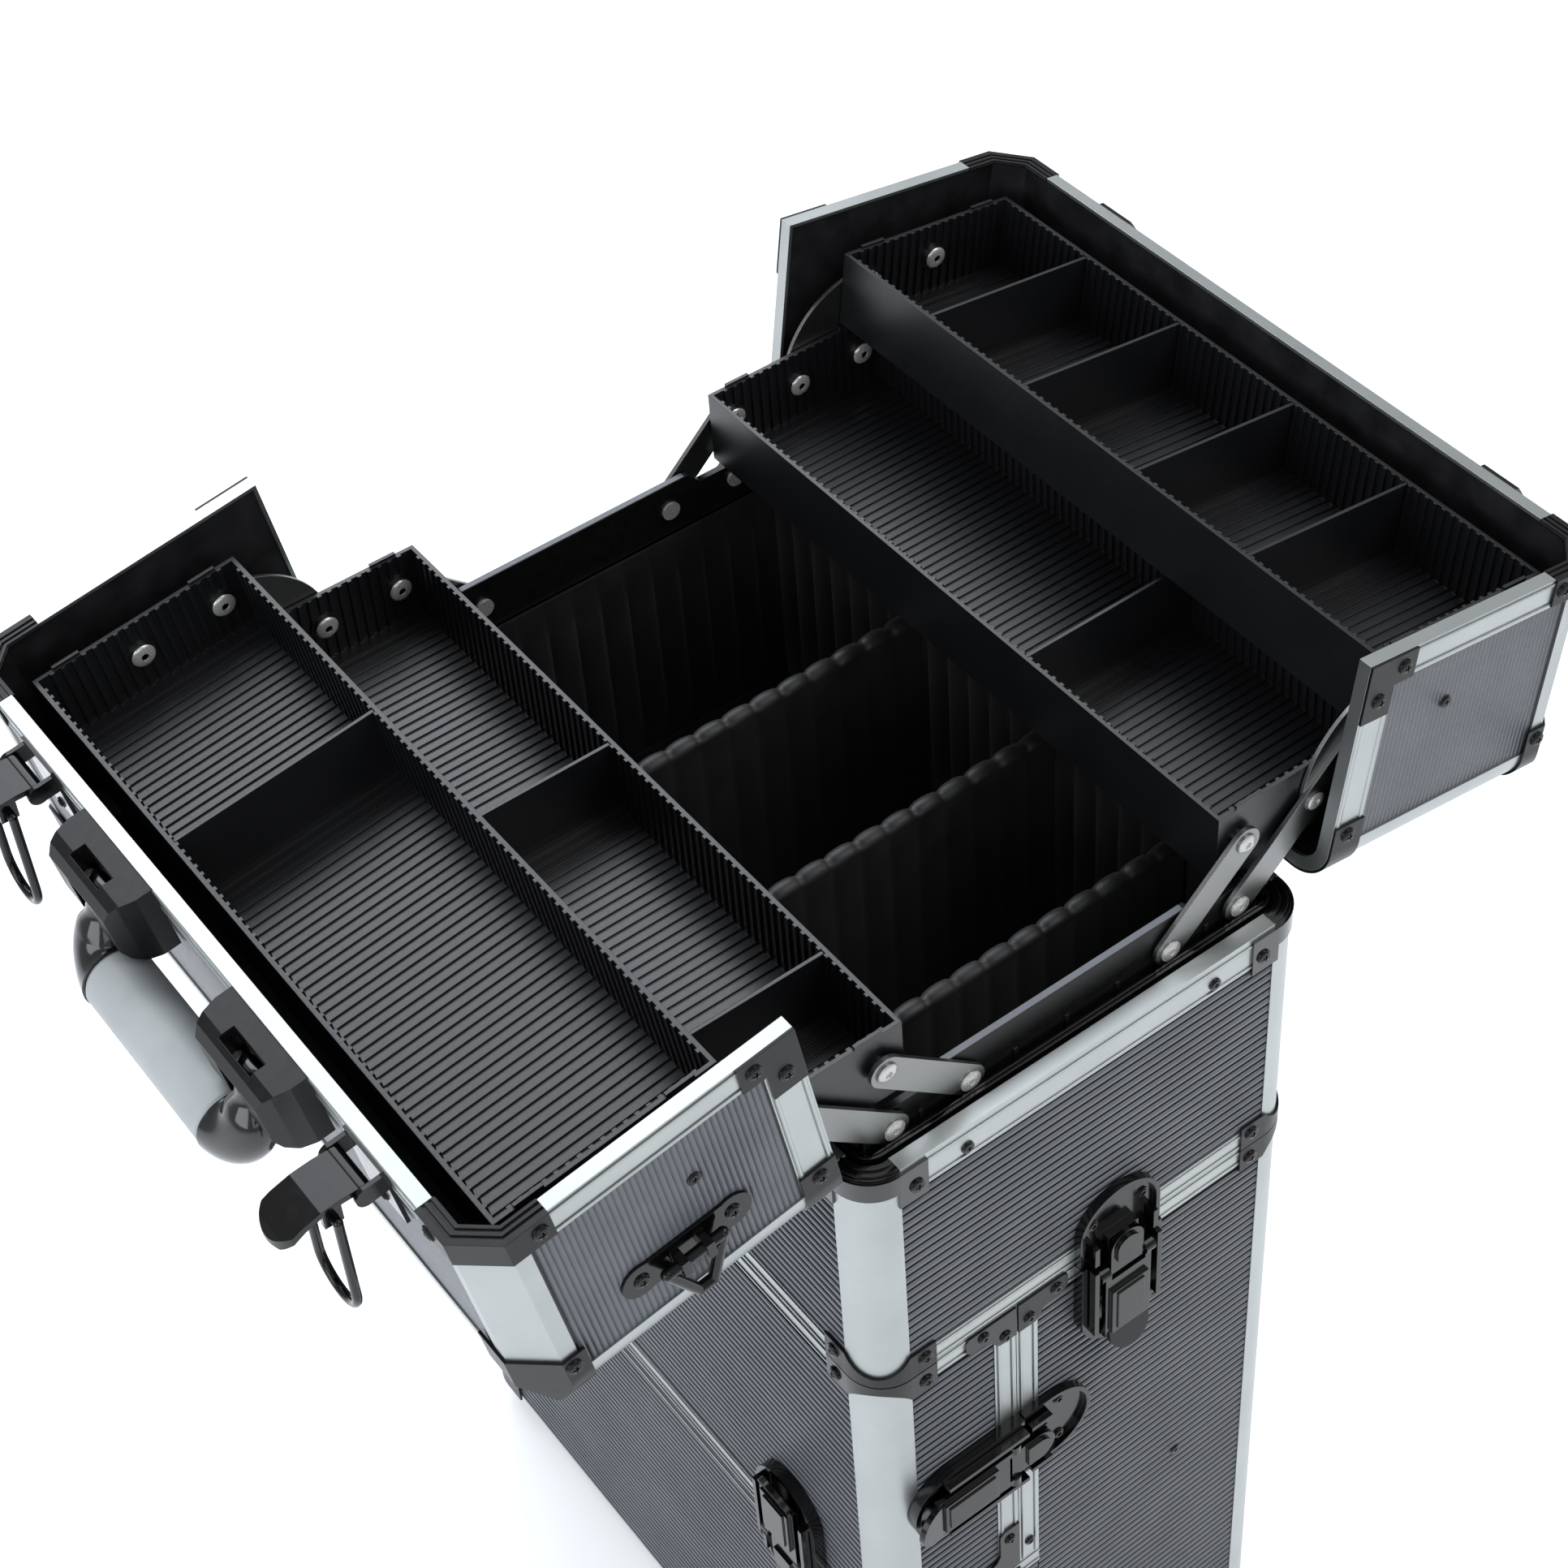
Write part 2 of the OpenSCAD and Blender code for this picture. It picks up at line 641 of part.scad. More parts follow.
module lid_leaf() difference() {
  union() {
    knuckle_row(1) {
      disc_x(0, knuckle_l, knuckle_r, hinge_y, hinge_z);
      box([0, hy + leaf_t - 0.1, 1.6], [knuckle_l, hinge_y - 1, 4.5]);
    }
    box([-knuckle_n * (knuckle_l + gap) / 2, hy, 1.6], [knuckle_n * (knuckle_l + gap) / 2, hy + leaf_t, 18]);
  }
  disc_x(-hx, hx, 1.4 + fit, hinge_y, hinge_z);
}

// ---------- lids, drawn closed ----------

lid_y0 = 0.3;

// the lid's outline inset by i, from y0 outwards and z0 upwards
module lid_block(i, y0, z0) intersection() {
  translate([0, 0, z0]) linear_extrude(lid_top - i - z0) plan(i);
  rotate([90, 0, 0]) linear_extrude(3 * hy, center = true) polygon([[-hx + i, z0 - 1], [hx - i, z0 - 1],
    [hx - i, lid_top - lid_chamfer - 0.414 * i], [hx - lid_chamfer - 0.414 * i, lid_top - i],
    [-hx + lid_chamfer + 0.414 * i, lid_top - i], [-hx + i, lid_top - lid_chamfer - 0.414 * i]]);
  slab_x(-hx - 5, hx + 5) polygon([[y0, z0 - 1], [hy - i, z0 - 1],
    [hy - i, lid_top - lid_chamfer - 0.414 * i],
    [hy - lid_chamfer - 0.414 * i, lid_top - i], [y0, lid_top - i]]);
}

flange_w = 6;             // width of the flange round the lid's open edges
edge_w = lid_chamfer + 6.5; // reach of the edging beyond a lid corner
cap_reach = 31;           // reach of the rim caps from a lid corner
cap_w = 7;                // width of the rim caps

module lid_shell() difference() {
  lid_block(skin, lid_y0 + flange_t, lid_z0 + flange_t);
  lid_block(wall_in, -5, -5);
}

strip_w = 14;

module lid_frame() difference() {
  union() {
    intersection() {
      difference() {
        lid_block(0, lid_y0, lid_z0);
        lid_block(skin, -5, -5);
      }
      union() {
        box([-hx, 0, 0], [hx, strip_w, lid_top]);
        box([-hx, 0, 0], [hx, hy, strip_w + 2]);
        columns(post_w, 0, lid_top);
        for (s = [-1, 1]) translate([s * hx, hy / 2, lid_top])
          cube([2 * edge_w, hy, 2 * edge_w], center = true);
        box([-hx, hy - edge_w, lid_top - edge_w], [hx, hy, lid_top]);
      }
    }
    difference() {
      intersection() {
        lid_block(0, lid_y0, lid_z0);
        union() {
          box([-hx, 0, 0], [hx, lid_y0 + flange_t, lid_top]);
          box([-hx, 0, 0], [hx, hy, lid_z0 + flange_t]);
        }
      }
      lid_block(flange_w, -5, -5);
    }
  }
  rim_caps(cap_reach, lid_y0 + flange_t);
}

// the two corners of the split rim, reaching w from each, up to depth y
module rim_caps(w, y) for (s = [-1, 1])
  translate([s * hx, y / 2 - 0.5, lid_top]) cube([2 * w, y + 1, 2 * w], center = true);

// a ridge following the rim between two insets
module rim_ridge(i0, i1, y0, y1) intersection() {
  difference() {
    lid_block(i0, y0, lid_z0);
    lid_block(i1, -5, -5);
  }
  rim_caps(cap_reach, y1);
}

module lid_corners() {
  rim_ridge(0, cap_w, lid_y0 + 0.8, lid_y0 + flange_t);
  for (i = [0, 2.6, 5.2]) rim_ridge(i, i + 1.4, lid_y0, lid_y0 + 1);
  intersection() {
    difference() {
      lid_block(-pad, lid_y0, lid_z0);
      lid_block(0, -5, -5);
    }
    for (s = [-1, 1]) {
      translate([s * hx, 0, lid_top]) cube([2 * cap_reach, 26, 2 * cap_reach], center = true);
      translate([s * hx, 0, 0]) cube([6, 28, 50], center = true);
      translate([s * hx, 0, 0]) cube([6, 56, 30], center = true);
      translate([s * hx, hy, 0]) cube([2 * bracket_reach, 2 * bracket_reach, 32], center = true);
      translate([s * hx, hy, lid_top]) cube([2 * bracket_reach, 2 * bracket_reach, 46], center = true);
    }
  }
  both_ends() translate([hx + pad, 0, 0]) {
    for (p = [[6.5, lid_top - cap_reach + 5], [19, 8], [7, 19], [screw_y, 8], [screw_y, lid_top - 17]])
      translate([0, p[0], p[1]]) rotate([0, 90, 0]) screw();
  }
  both_ends() translate([hx - skin, 39, 51]) rotate([0, 90, 0]) screw(2.8);
  both_ends() translate([screw_x, hy + pad, 8]) rotate([-90, 0, 0]) screw();
  both_ends() translate([hx - cap_reach + 6, 7, lid_top + pad]) screw();
}

module lid_left_shell() color([0.25, 0.25, 0.27]) lid_pose(-1) lid_shell();
module lid_right_shell() color([0.25, 0.25, 0.27]) lid_pose(1) lid_shell();

module lid_left_frame() color([0.8, 0.8, 0.8]) lid_pose(-1) {
  lid_frame();
  lid_leaf();
}

module lid_right_frame() color([0.8, 0.8, 0.8]) lid_pose(1) {
  lid_frame();
  lid_leaf();
}

module lid_left_corners() color([0.06, 0.06, 0.06]) lid_pose(-1) lid_corners();
module lid_right_corners() color([0.06, 0.06, 0.06]) lid_pose(1) lid_corners();

// ---------- carry handle on the left lid ----------

bracket_x = 55;
bracket_w = 52;
grip_y = 15.5;            // handle pivot from the split, on the closed lid
grip_z = lid_top + 12;    // and above the closed lid
grip_drop = 32;
grip_swing = 14;
grip_r = 13.5;
handle_pin = 2.4;
handle_slot = 7.5;

// where a point of the closed right-hand lid stands once the lid is open
function open_pt(y, z) = [hinge_y + (y - hinge_y) * cos(lid_open) + (z - hinge_z) * sin(lid_open),
  hinge_z - (y - hinge_y) * sin(lid_open) + (z - hinge_z) * cos(lid_open)];

grip_pivot = open_pt(grip_y, grip_z);
grip_c = [grip_pivot[0] + grip_drop * sin(grip_swing), grip_pivot[1] - grip_drop * cos(grip_swing)];

module handle_brackets() color([0.05, 0.05, 0.05]) lid_pose(-1) both_ends()
  translate([bracket_x, 0, lid_top]) difference() {
    intersection() {
      slab_x(-bracket_w / 2, bracket_w / 2)
        polygon([[1, 0], [1, 13], [2.4, 17], [6.5, 20], [25, 20], [30, 17.6], [33.4, 13], [34, 8], [34, 0]]);
      rotate([90, 0, 0]) linear_extrude(100, center = true)
        polygon([[-26, -1], [26, -1], [26, 7], [24, 14], [21, 20.5], [-21, 20.5], [-24, 14], [-26, 7]]);
    }
    box([-handle_slot, grip_y - 8.5, 3], [handle_slot, 40, 25]);
    box([-handle_slot - 3.4, 0, 8], [handle_slot + 3.4, grip_y, 14.6]);
    disc_x(-bracket_w / 2 + 4, bracket_w / 2 - 4, handle_pin, grip_y, grip_z - lid_top);
  }

// the pins the handle hangs on
module handle_pins() color([0.75, 0.75, 0.77]) lid_pose(-1) both_ends()
  translate([bracket_x, 0, 0]) disc_x(-bracket_w / 2 + 4, bracket_w / 2 - 4, handle_pin, grip_y, grip_z);

elbow_r = grip_r + 0.3;
grip_half = 43;

module handle_ends() color([0.1, 0.1, 0.11]) side(-1) both_ends() difference() {
  union() {
    disc_x(bracket_x - 7, bracket_x + 7, 6.5, grip_pivot[0], grip_pivot[1]);
    translate([bracket_x, grip_pivot[0], grip_pivot[1]]) rotate([grip_swing, 0, 0]) {
      translate([-6.6, -5.5, -grip_drop]) cube([13.2, 11, grip_drop]);
      slab_x(-10.4, 10.4)
        polygon([[-5, -19.6], [5, -19.6], [8.4, -23.6], [9.6, -32], [-9.6, -32], [-8.4, -23.6]]);
    }
    translate([0, grip_c[0], grip_c[1]]) rotate([0, 90, 0]) rotate_extrude() polygon([
      [0, grip_half], [elbow_r, grip_half], [elbow_r, bracket_x], [elbow_r - 1, bracket_x + 3.6],
      [elbow_r - 3, bracket_x + 7], [elbow_r - 6.2, bracket_x + 9.6], [elbow_r - 10, bracket_x + 11],
      [0, bracket_x + 11.4]
    ]);
  }
  disc_x(bracket_x - 8, bracket_x + 8, handle_pin + fit, grip_pivot[0], grip_pivot[1]);
}

module handle_grip() color([0.7, 0.71, 0.7]) side(-1) translate([0, grip_c[0], grip_c[1]]) rotate([0, 90, 0])
  rotate_extrude() polygon([[0, -grip_half], [grip_r - 1, -grip_half], [grip_r, 2 - grip_half],
    [grip_r, grip_half - 2], [grip_r - 1, grip_half], [0, grip_half]]);

// ---------- toggle latches ----------

toggle_x = 118;
toggle_y = 8;
toggle_h = 9;             // toggle pivot above the closed lid
toggle_pt = open_pt(toggle_y, lid_top + toggle_h);
bail_out = 12;
bail_down = 3.6;
bail_pt = [toggle_pt[0] + bail_out, toggle_pt[1] - bail_down];
wire_r = 1.8;
tongue_w = 10.2;          // half width of the toggle's tongue

module lid_left_hardware() color([0.06, 0.06, 0.06]) lid_pose(-1) {
  both_ends() translate([toggle_x, 0, lid_top]) {
    box([-12.4, 1.5, 0], [12.4, 34, 1.6]);
    for (s = [-1, 1]) {
      box([s * 11.4 - 1, toggle_y - 4, 1], [s * 11.4 + 1, toggle_y + 4, toggle_h]);
      disc_x(s * 11.4 - 1, s * 11.4 + 1, 4.2, toggle_y, toggle_h);
    }
    disc_x(-12.4, 12.4, 1.5, toggle_y, toggle_h);
    translate([0, 30, 1.5]) screw(2.4);
  }
  both_ends() translate([hx - skin, ring_y, ring_z]) ring_strap();
}

// spoon-shaped tongue with two cheeks for the bail
module toggle(s) side(-1) translate([s * toggle_x, toggle_pt[0], toggle_pt[1]]) difference() {
  union() {
    disc_x(-10, 10, 3.8, 0, 0);
    intersection() {
      slab_x(-tongue_w, tongue_w) polygon([[0, 1], [8, 1], [15, 0.2], [22.4, -2.2], [28, -5.4], [31, -8.4],
        [34, -7], [30.4, -3.2], [24, 0.2], [16, 2.6], [8, 3.5], [0, 3.5]]);
      translate([0, 0, -20]) linear_extrude(40) {
        translate([-20, -1]) square([40, 22]);
        translate([0, 20]) circle(tongue_w + 2.4);
      }
    }
    for (t = [-1, 1])
      translate([t * 8.6 - 1.2, bail_out - 3.6, -bail_down - 3.4]) cube([2.4, 7.2, bail_down + 4.6]);
  }
  disc_x(-20, 20, 1.5 + fit, 0, 0);
  disc_x(-20, 20, wire_r + fit, bail_out, -bail_down);
}

bail_w = 12.6;
bail_l = 40;

module bail(s) side(-1) translate([s * toggle_x, bail_pt[0], bail_pt[1]]) {
  disc_x(-bail_w, bail_w, wire_r, 0, 0);
  for (t = [-1, 1]) {
    translate([t * bail_w, 0, 0]) sphere(wire_r + 0.06);
    translate([t * bail_w, 0, -bail_l]) cylinder(r = wire_r, h = bail_l);
  }
  translate([0, 0, -bail_l])
    rotate([-90, 0, 0]) rotate_extrude(angle = 180) translate([bail_w, 0]) circle(wire_r);
}

module toggle_near() color([0.08, 0.08, 0.08]) toggle(1);
module toggle_far() color([0.08, 0.08, 0.08]) toggle(-1);
module bail_near() color([0.08, 0.08, 0.08]) bail(1);
module bail_far() color([0.08, 0.08, 0.08]) bail(-1);

module lid_right_keepers() color([0.06, 0.06, 0.06]) lid_pose(1) both_ends()
  translate([toggle_x, 0, lid_top]) {
    box([-22, 3, 0], [22, 19, 1.6]);
    translate([-9.6, 0, 0]) slab_x(0, 19.2)
      polygon([[5, 1], [17, 1], [17, 5], [13, 5], [13, 9], [19, 9], [19, 12], [10, 12], [5, 8]]);
    for (s = [-1, 1]) translate([s * 17, 11, 1.5]) screw(2.4);
  }

// ---------- strap rings on the left lid's ends ----------

ring_y = 69;
ring_z = 62;
ring_out = 4.8;
ring_wire = 2.2;
ring_half = 12;           // half length of the ring's straight bar
strap_half = 19.5;        // half spacing of the strap plate's screws
lug_half = 5.3;           // half spacing of the lugs that hold the ring

module ring_strap() {
  slab_x(0, 1.6) {
    translate([-7.4, -strap_half]) square([14.8, 2 * strap_half]);
    for (s = [-1, 1]) translate([0, s * strap_half]) circle(8);
  }
  for (s = [-1, 1]) difference() {
    translate([1, -4, s * lug_half - 1.6]) cube([7 + skin, 8, 3.2]);
    translate([skin + ring_out, 0, s * lug_half - 3]) cylinder(r = ring_wire + fit, h = 6);
  }
  for (s = [-1, 1]) translate([1.5, 0, s * strap_half]) rotate([0, 90, 0]) screw();
}

module wire(a, b) translate(a) rotate([atan2(b[2] - a[2], b[1] - a[1]), 0, 0]) rotate([-90, 0, 0])
  cylinder(r = ring_wire, h = norm(b - a));

module strap_ring() lid_pose(-1) translate([hx + ring_out, ring_y, ring_z]) {
  translate([0, 0, -ring_half]) cylinder(r = ring_wire, h = 2 * ring_half);
  for (s = [-1, 1]) {
    translate([0, 0, s * ring_half]) sphere(ring_wire + 0.08);
    wire([0, 0, s * ring_half], [0, 20, s * 3.2]);
    translate([0, 20, s * 3.2]) sphere(ring_wire + 0.08);
  }
  translate([0, 20, -3.2]) cylinder(r = ring_wire, h = 6.4);
}

module ring_near() color([0.1, 0.1, 0.1]) strap_ring();
module ring_far() color([0.1, 0.1, 0.1]) mirror([1, 0, 0]) strap_ring();

// ---------- linkage ----------

module link_bar(a, b, bore) slab_x(arm_x, arm_x + arm_t) difference() {
  union() {
    translate(a) circle(arm_w / 2);
    translate(b) circle(arm_w / 2);
    translate(a) rotate(atan2(b[1] - a[1], b[0] - a[0])) translate([0, -arm_w / 2 + 0.02])
      square([norm(b - a), arm_w - 0.04]);
  }
  if (bore > 0) translate(a) circle(bore);
}

pad_x = tray_l / 2 - tray_t - tooth_d;

module tray_pin(p) {
  disc_x(pad_x - 1.4, pad_x - fit, pin_r + 3, p[0], p[1]);
  disc_x(pad_x - 2, pad_x - 1.3, pin_r + 1.6, p[0], p[1]);
  disc_x(pad_x - 0.2, arm_x + 0.1, pin_r, p[0], p[1]);
  disc_x(tray_l / 2 + fit, arm_x, pin_r + 1.5, p[0], p[1]);
  disc_x(arm_x + arm_t - 0.1, arm_x + arm_t + 0.8, pin_r + 2.6, p[0], p[1]);
}

module short_arms() both_ends() {
  link_bar([pa, pivot_z], qa, pin_r + fit);
  tray_pin(qa);
}

// the long arm carries a bowed finger guard between the two trays
module long_arms() both_ends() {
  link_bar([pb, pivot_z], ob, pin_r + fit);
  tray_pin(qb);
  tray_pin(ob);
  slab_x(tray_l / 2 + 0.5, arm_x) intersection() {
    translate(qb) rotate(arm_open) translate([27, -28]) circle(44);
    translate(qb) rotate(arm_open) translate([27, 28]) circle(44);
  }
}

module link_arms() both_ends() {
  link_bar(qc, oc, 0);
  tray_pin(qc);
  tray_pin(oc);
}

module short_arms_left() color([0.7, 0.7, 0.7]) side(-1) short_arms();
module long_arms_left() color([0.7, 0.7, 0.7]) side(-1) long_arms();
module link_arms_left() color([0.7, 0.7, 0.7]) side(-1) link_arms();
module short_arms_right() color([0.7, 0.7, 0.7]) short_arms();
module long_arms_right() color([0.7, 0.7, 0.7]) long_arms();
module link_arms_right() color([0.7, 0.7, 0.7]) link_arms();

// ---------- trays, drawn with the inner rim corner at the origin ----------

tx = tray_l / 2 - tray_t;
nx = floor((tray_l - 2 * tray_t - 4) / tooth_pitch);
ny = floor((tray_w - 2 * tray_t - 4) / tooth_pitch);
rib_h = 0.8;
groove = 1.3;             // width of the grooves between the floor ribs

function snap(x) = -nx * tooth_pitch / 2 + round((x + nx * tooth_pitch / 2) / tooth_pitch) * tooth_pitch;

// inner outline of the walls, with a comb of teeth along every side
function comb() = concat(
  [for (i = [0 : nx - 1]) let (x = (i - nx / 2) * tooth_pitch)
    each [[x + 0.3 * tooth_pitch, tray_t], [x + 0.3 * tooth_pitch, tray_t + tooth_d],
      [x + 0.7 * tooth_pitch, tray_t + tooth_d], [x + 0.7 * tooth_pitch, tray_t]]],
  [[tx, tray_t]],
  [for (i = [0 : ny - 1]) let (y = tray_w / 2 + (i - ny / 2) * tooth_pitch)
    each [[tx, y + 0.3 * tooth_pitch], [tx - tooth_d, y + 0.3 * tooth_pitch],
      [tx - tooth_d, y + 0.7 * tooth_pitch], [tx, y + 0.7 * tooth_pitch]]],
  [[tx, tray_w - tray_t]],
  [for (i = [nx - 1 : -1 : 0]) let (x = (i - nx / 2) * tooth_pitch)
    each [[x + 0.7 * tooth_pitch, tray_w - tray_t], [x + 0.7 * tooth_pitch, tray_w - tray_t - tooth_d],
      [x + 0.3 * tooth_pitch, tray_w - tray_t - tooth_d], [x + 0.3 * tooth_pitch, tray_w - tray_t]]],
  [[-tx, tray_w - tray_t]],
  [for (i = [ny - 1 : -1 : 0]) let (y = tray_w / 2 + (i - ny / 2) * tooth_pitch)
    each [[-tx, y + 0.7 * tooth_pitch], [-tx + tooth_d, y + 0.7 * tooth_pitch],
      [-tx + tooth_d, y + 0.3 * tooth_pitch], [-tx, y + 0.3 * tooth_pitch]]],
  [[-tx, tray_t]]);

// floor section: broad low ribs running across the tray, parted by narrow grooves
function ribs() = concat([[-tx - 0.5, 0], [tx + 0.5, 0], [tx + 0.5, tray_t]],
  [for (i = [nx - 1 : -1 : 0]) let (x = (i - nx / 2) * tooth_pitch)
    each [[x + tooth_pitch - groove / 2, tray_t], [x + tooth_pitch - groove / 2 - 0.1, tray_t + rib_h],
      [x + groove / 2 + 0.1, tray_t + rib_h], [x + groove / 2, tray_t]]],
  [[-tx - 0.5, tray_t]]);

// pins = [[u, down, hole radius]...] measured from the inner rim corner
module tray(pins) difference() {
  union() {
    translate([0, 0, -tray_h]) linear_extrude(tray_h) difference() {
      translate([-tray_l / 2, 0]) square([tray_l, tray_w]);
      polygon(comb());
    }
    translate([0, tray_w - 0.5, -tray_h]) rotate([90, 0, 0]) linear_extrude(tray_w - 1) polygon(ribs());
    both_ends() {
      for (p = pins) disc_x(pad_x, tx + 0.1, boss_r, p[0], -p[1]);
      for (u = [9, tray_w - 21]) box([tx + 0.2, u, -0.1], [tray_l / 2, u + 12, 1.5]);
    }
  }
  for (p = pins) disc_x(-tray_l / 2 - 1, tray_l / 2 + 1, p[2], p[0], -p[1]);
}

module at_inner(s) side(s) translate([0, qa[0] - pin_in, qa[1] + pin_down]) children();
module at_outer(s) side(s) translate([0, ob[0], ob[1]]) rotate([-tray_tilt, 0, 0])
  translate([0, -pin_out, pin_down]) children();

run_r = pin_r + fit;
inner_pins = [[pin_in, pin_down, run_r], [pin_in + spread, pin_down, run_r],
  [pin_in + spread + link_in, pin_down, run_r]];
outer_pins = [[pin_out, pin_down, run_r], [pin_out + link_out, pin_down, pin_r + 1.3]];

module tray_inner_left() color([0.06, 0.06, 0.06]) at_inner(-1) tray(inner_pins);
module tray_inner_right() color([0.06, 0.06, 0.06]) at_inner(1) tray(inner_pins);
module tray_outer_left() color([0.06, 0.06, 0.06]) at_outer(-1) tray(outer_pins);
module tray_outer_right() color([0.06, 0.06, 0.06]) at_outer(1) tray(outer_pins);

// thin dividers, placed as shares of the tray length and snapped to the slots
module dividers(shares) for (x = shares * tray_l)
  box([snap(x) - 0.75, tray_t + 0.2, -tray_h + tray_t + rib_h], [snap(x) + 0.75, tray_w - tray_t - 0.2, -0.4]);

module dividers_inner_left() color([0.07, 0.07, 0.07]) at_inner(-1) dividers([-0.05, 0.365]);
module dividers_inner_right() color([0.07, 0.07, 0.07]) at_inner(1) dividers([0.15]);
module dividers_outer_left() color([0.07, 0.07, 0.07]) at_outer(-1) dividers([-0.165]);
module dividers_outer_right() color([0.07, 0.07, 0.07]) at_outer(1) dividers([-0.32, -0.142, 0.082, 0.282]);

case_shell();
case_frame();
case_rim();
rim_channel();
well_liner();
well_dividers();
end_plates();
pivot_rivets();
cabinet_shell();
lower_frame();
frame_brackets();
frame_screws();
latch_bases();
hinges();
base_plate();
trolley_tubes();
door_shell();
door_frame();
door_hardware();
lid_left_shell();
lid_left_frame();
lid_left_corners();
handle_brackets();
handle_pins();
lid_left_hardware();
lid_right_shell();
lid_right_frame();
lid_right_corners();
lid_right_keepers();
short_arms_left();
long_arms_left();
link_arms_left();
tray_inner_left();
tray_outer_left();
dividers_inner_left();
dividers_outer_left();
short_arms_right();
long_arms_right();
link_arms_right();
tray_inner_right();
tray_outer_right();
dividers_inner_right();
dividers_outer_right();
handle_ends();
handle_grip();
toggle_near();
bail_near();
toggle_far();
bail_far();
ring_near();
ring_far();
latch_lever_near();
latch_lever_far();
latch_lever_door();
latch_lever_low_near();
latch_lever_low_far();
wheel_front();
wheel_back();
trolley_handle();
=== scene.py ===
import bmesh
import bpy
import json
import math
from mathutils import Matrix, Vector


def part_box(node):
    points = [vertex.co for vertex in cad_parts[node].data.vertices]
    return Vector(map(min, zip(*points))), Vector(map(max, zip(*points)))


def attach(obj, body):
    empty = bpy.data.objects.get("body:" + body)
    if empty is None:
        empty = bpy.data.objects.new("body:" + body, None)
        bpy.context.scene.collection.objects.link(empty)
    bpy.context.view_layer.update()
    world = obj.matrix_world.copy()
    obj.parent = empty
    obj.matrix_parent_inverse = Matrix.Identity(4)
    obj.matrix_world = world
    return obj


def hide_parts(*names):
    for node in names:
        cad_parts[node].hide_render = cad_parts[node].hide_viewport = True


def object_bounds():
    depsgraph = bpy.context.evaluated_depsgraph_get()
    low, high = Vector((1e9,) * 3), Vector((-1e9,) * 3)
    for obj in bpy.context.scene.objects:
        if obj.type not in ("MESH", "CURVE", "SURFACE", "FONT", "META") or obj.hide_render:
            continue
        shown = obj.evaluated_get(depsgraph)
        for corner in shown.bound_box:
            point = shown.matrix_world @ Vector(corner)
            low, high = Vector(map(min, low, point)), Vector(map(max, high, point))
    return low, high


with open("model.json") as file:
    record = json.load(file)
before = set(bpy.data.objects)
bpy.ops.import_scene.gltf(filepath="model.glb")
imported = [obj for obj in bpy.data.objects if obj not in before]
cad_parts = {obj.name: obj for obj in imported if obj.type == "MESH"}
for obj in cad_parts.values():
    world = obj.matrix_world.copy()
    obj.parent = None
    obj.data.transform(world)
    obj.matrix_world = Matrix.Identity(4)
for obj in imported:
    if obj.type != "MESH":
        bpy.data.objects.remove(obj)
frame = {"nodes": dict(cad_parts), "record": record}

mm = 0.001
nodes = frame["nodes"]
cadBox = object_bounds()
print("frame loaded:", len(nodes), "nodes")


# sizes that the pieces share, read from the frame

bodyLow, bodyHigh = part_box("case_frame")
doorLow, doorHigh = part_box("door_frame")
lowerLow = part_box("lower_frame")[0]
doorGap = 0.4                          # between the door and the cabinet
case = {
    "halfL": bodyHigh.x / mm,          # outer half length
    "halfW": bodyHigh.y / mm,          # outer half width
    "joint": bodyLow.z / mm,           # joint between case and cabinet
    "doorFoot": round(doorLow.z / mm), # joint under the door
    "bottom": lowerLow.z / mm,         # underside of the cabinet
    "split": round(doorHigh.y / mm + doorGap, 2),  # plane where the door leaves the cabinet
    "rimDepth": 18,                    # height of the rim edging
    "stripH": 10.8,                    # height of an edging strip
    "postW": 18,                       # how far a post reaches along a face
    "bracket": 30,                     # how far a corner bracket reaches
    "splitStrip": 11,                  # width of the upright strips beside the split
    "splitBracket": 26,                # how far the brackets beside the split reach
    "skin": 1,                         # edging thickness over the board
    "corner": 1.2,                     # thickness of the plastic corner pieces
}
lid = {
    "open": 98.8,                      # angle a lid stands open at
    "hingeY": case["halfW"] + 4.5,
    "base": 0.5,
    "top": 132,
    "edge": 14,                        # strip beside the split
    "foot": 16,                        # strip beside the rim
    "bevelled": 20.5,                  # edging over the chamfered top edges
    "cap": 31,                         # reach of the caps over the top's ends
    "footCap": 27,                     # reach of the caps along the foot strip
    "sideCap": 25,                     # and up the strip beside the split
    "gap": 0.3,                        # between a lid and the split
}


def lidPlace(side):
    # turns the closed lid's coordinates into where the lid stands open; side is -1 left, 1 right
    shift = Matrix.Translation((0, lid["hingeY"], 0))
    turn = Matrix.Rotation(math.radians(-lid["open"]), 4, "X")
    flip = Matrix.Diagonal((1, side, 1, 1))
    return flip @ shift @ turn @ shift.inverted()


# materials

def toLinear(colour):
    parts = [int(colour[i:i + 2], 16) / 255 for i in (1, 3, 5)]
    return [p / 12.92 if p <= 0.04045 else ((p + 0.055) / 1.055) ** 2.4 for p in parts] + [1]


def addNode(tree, kind, settings=None, inputs=None):
    node = tree.nodes.new(kind)
    for name, value in (settings or {}).items():
        setattr(node, name, value)
    for socket, value in (inputs or {}).items():
        if isinstance(value, bpy.types.NodeSocket):
            tree.links.new(value, node.inputs[socket])
        else:
            node.inputs[socket].default_value = value
    return node


def newMaterial(name):
    material = bpy.data.materials.new(name)
    material.use_nodes = True
    tree = material.node_tree
    shader = tree.nodes["Principled BSDF"]
    place = addNode(tree, "ShaderNodeTexCoord").outputs["Object"]
    return material, tree, shader, place


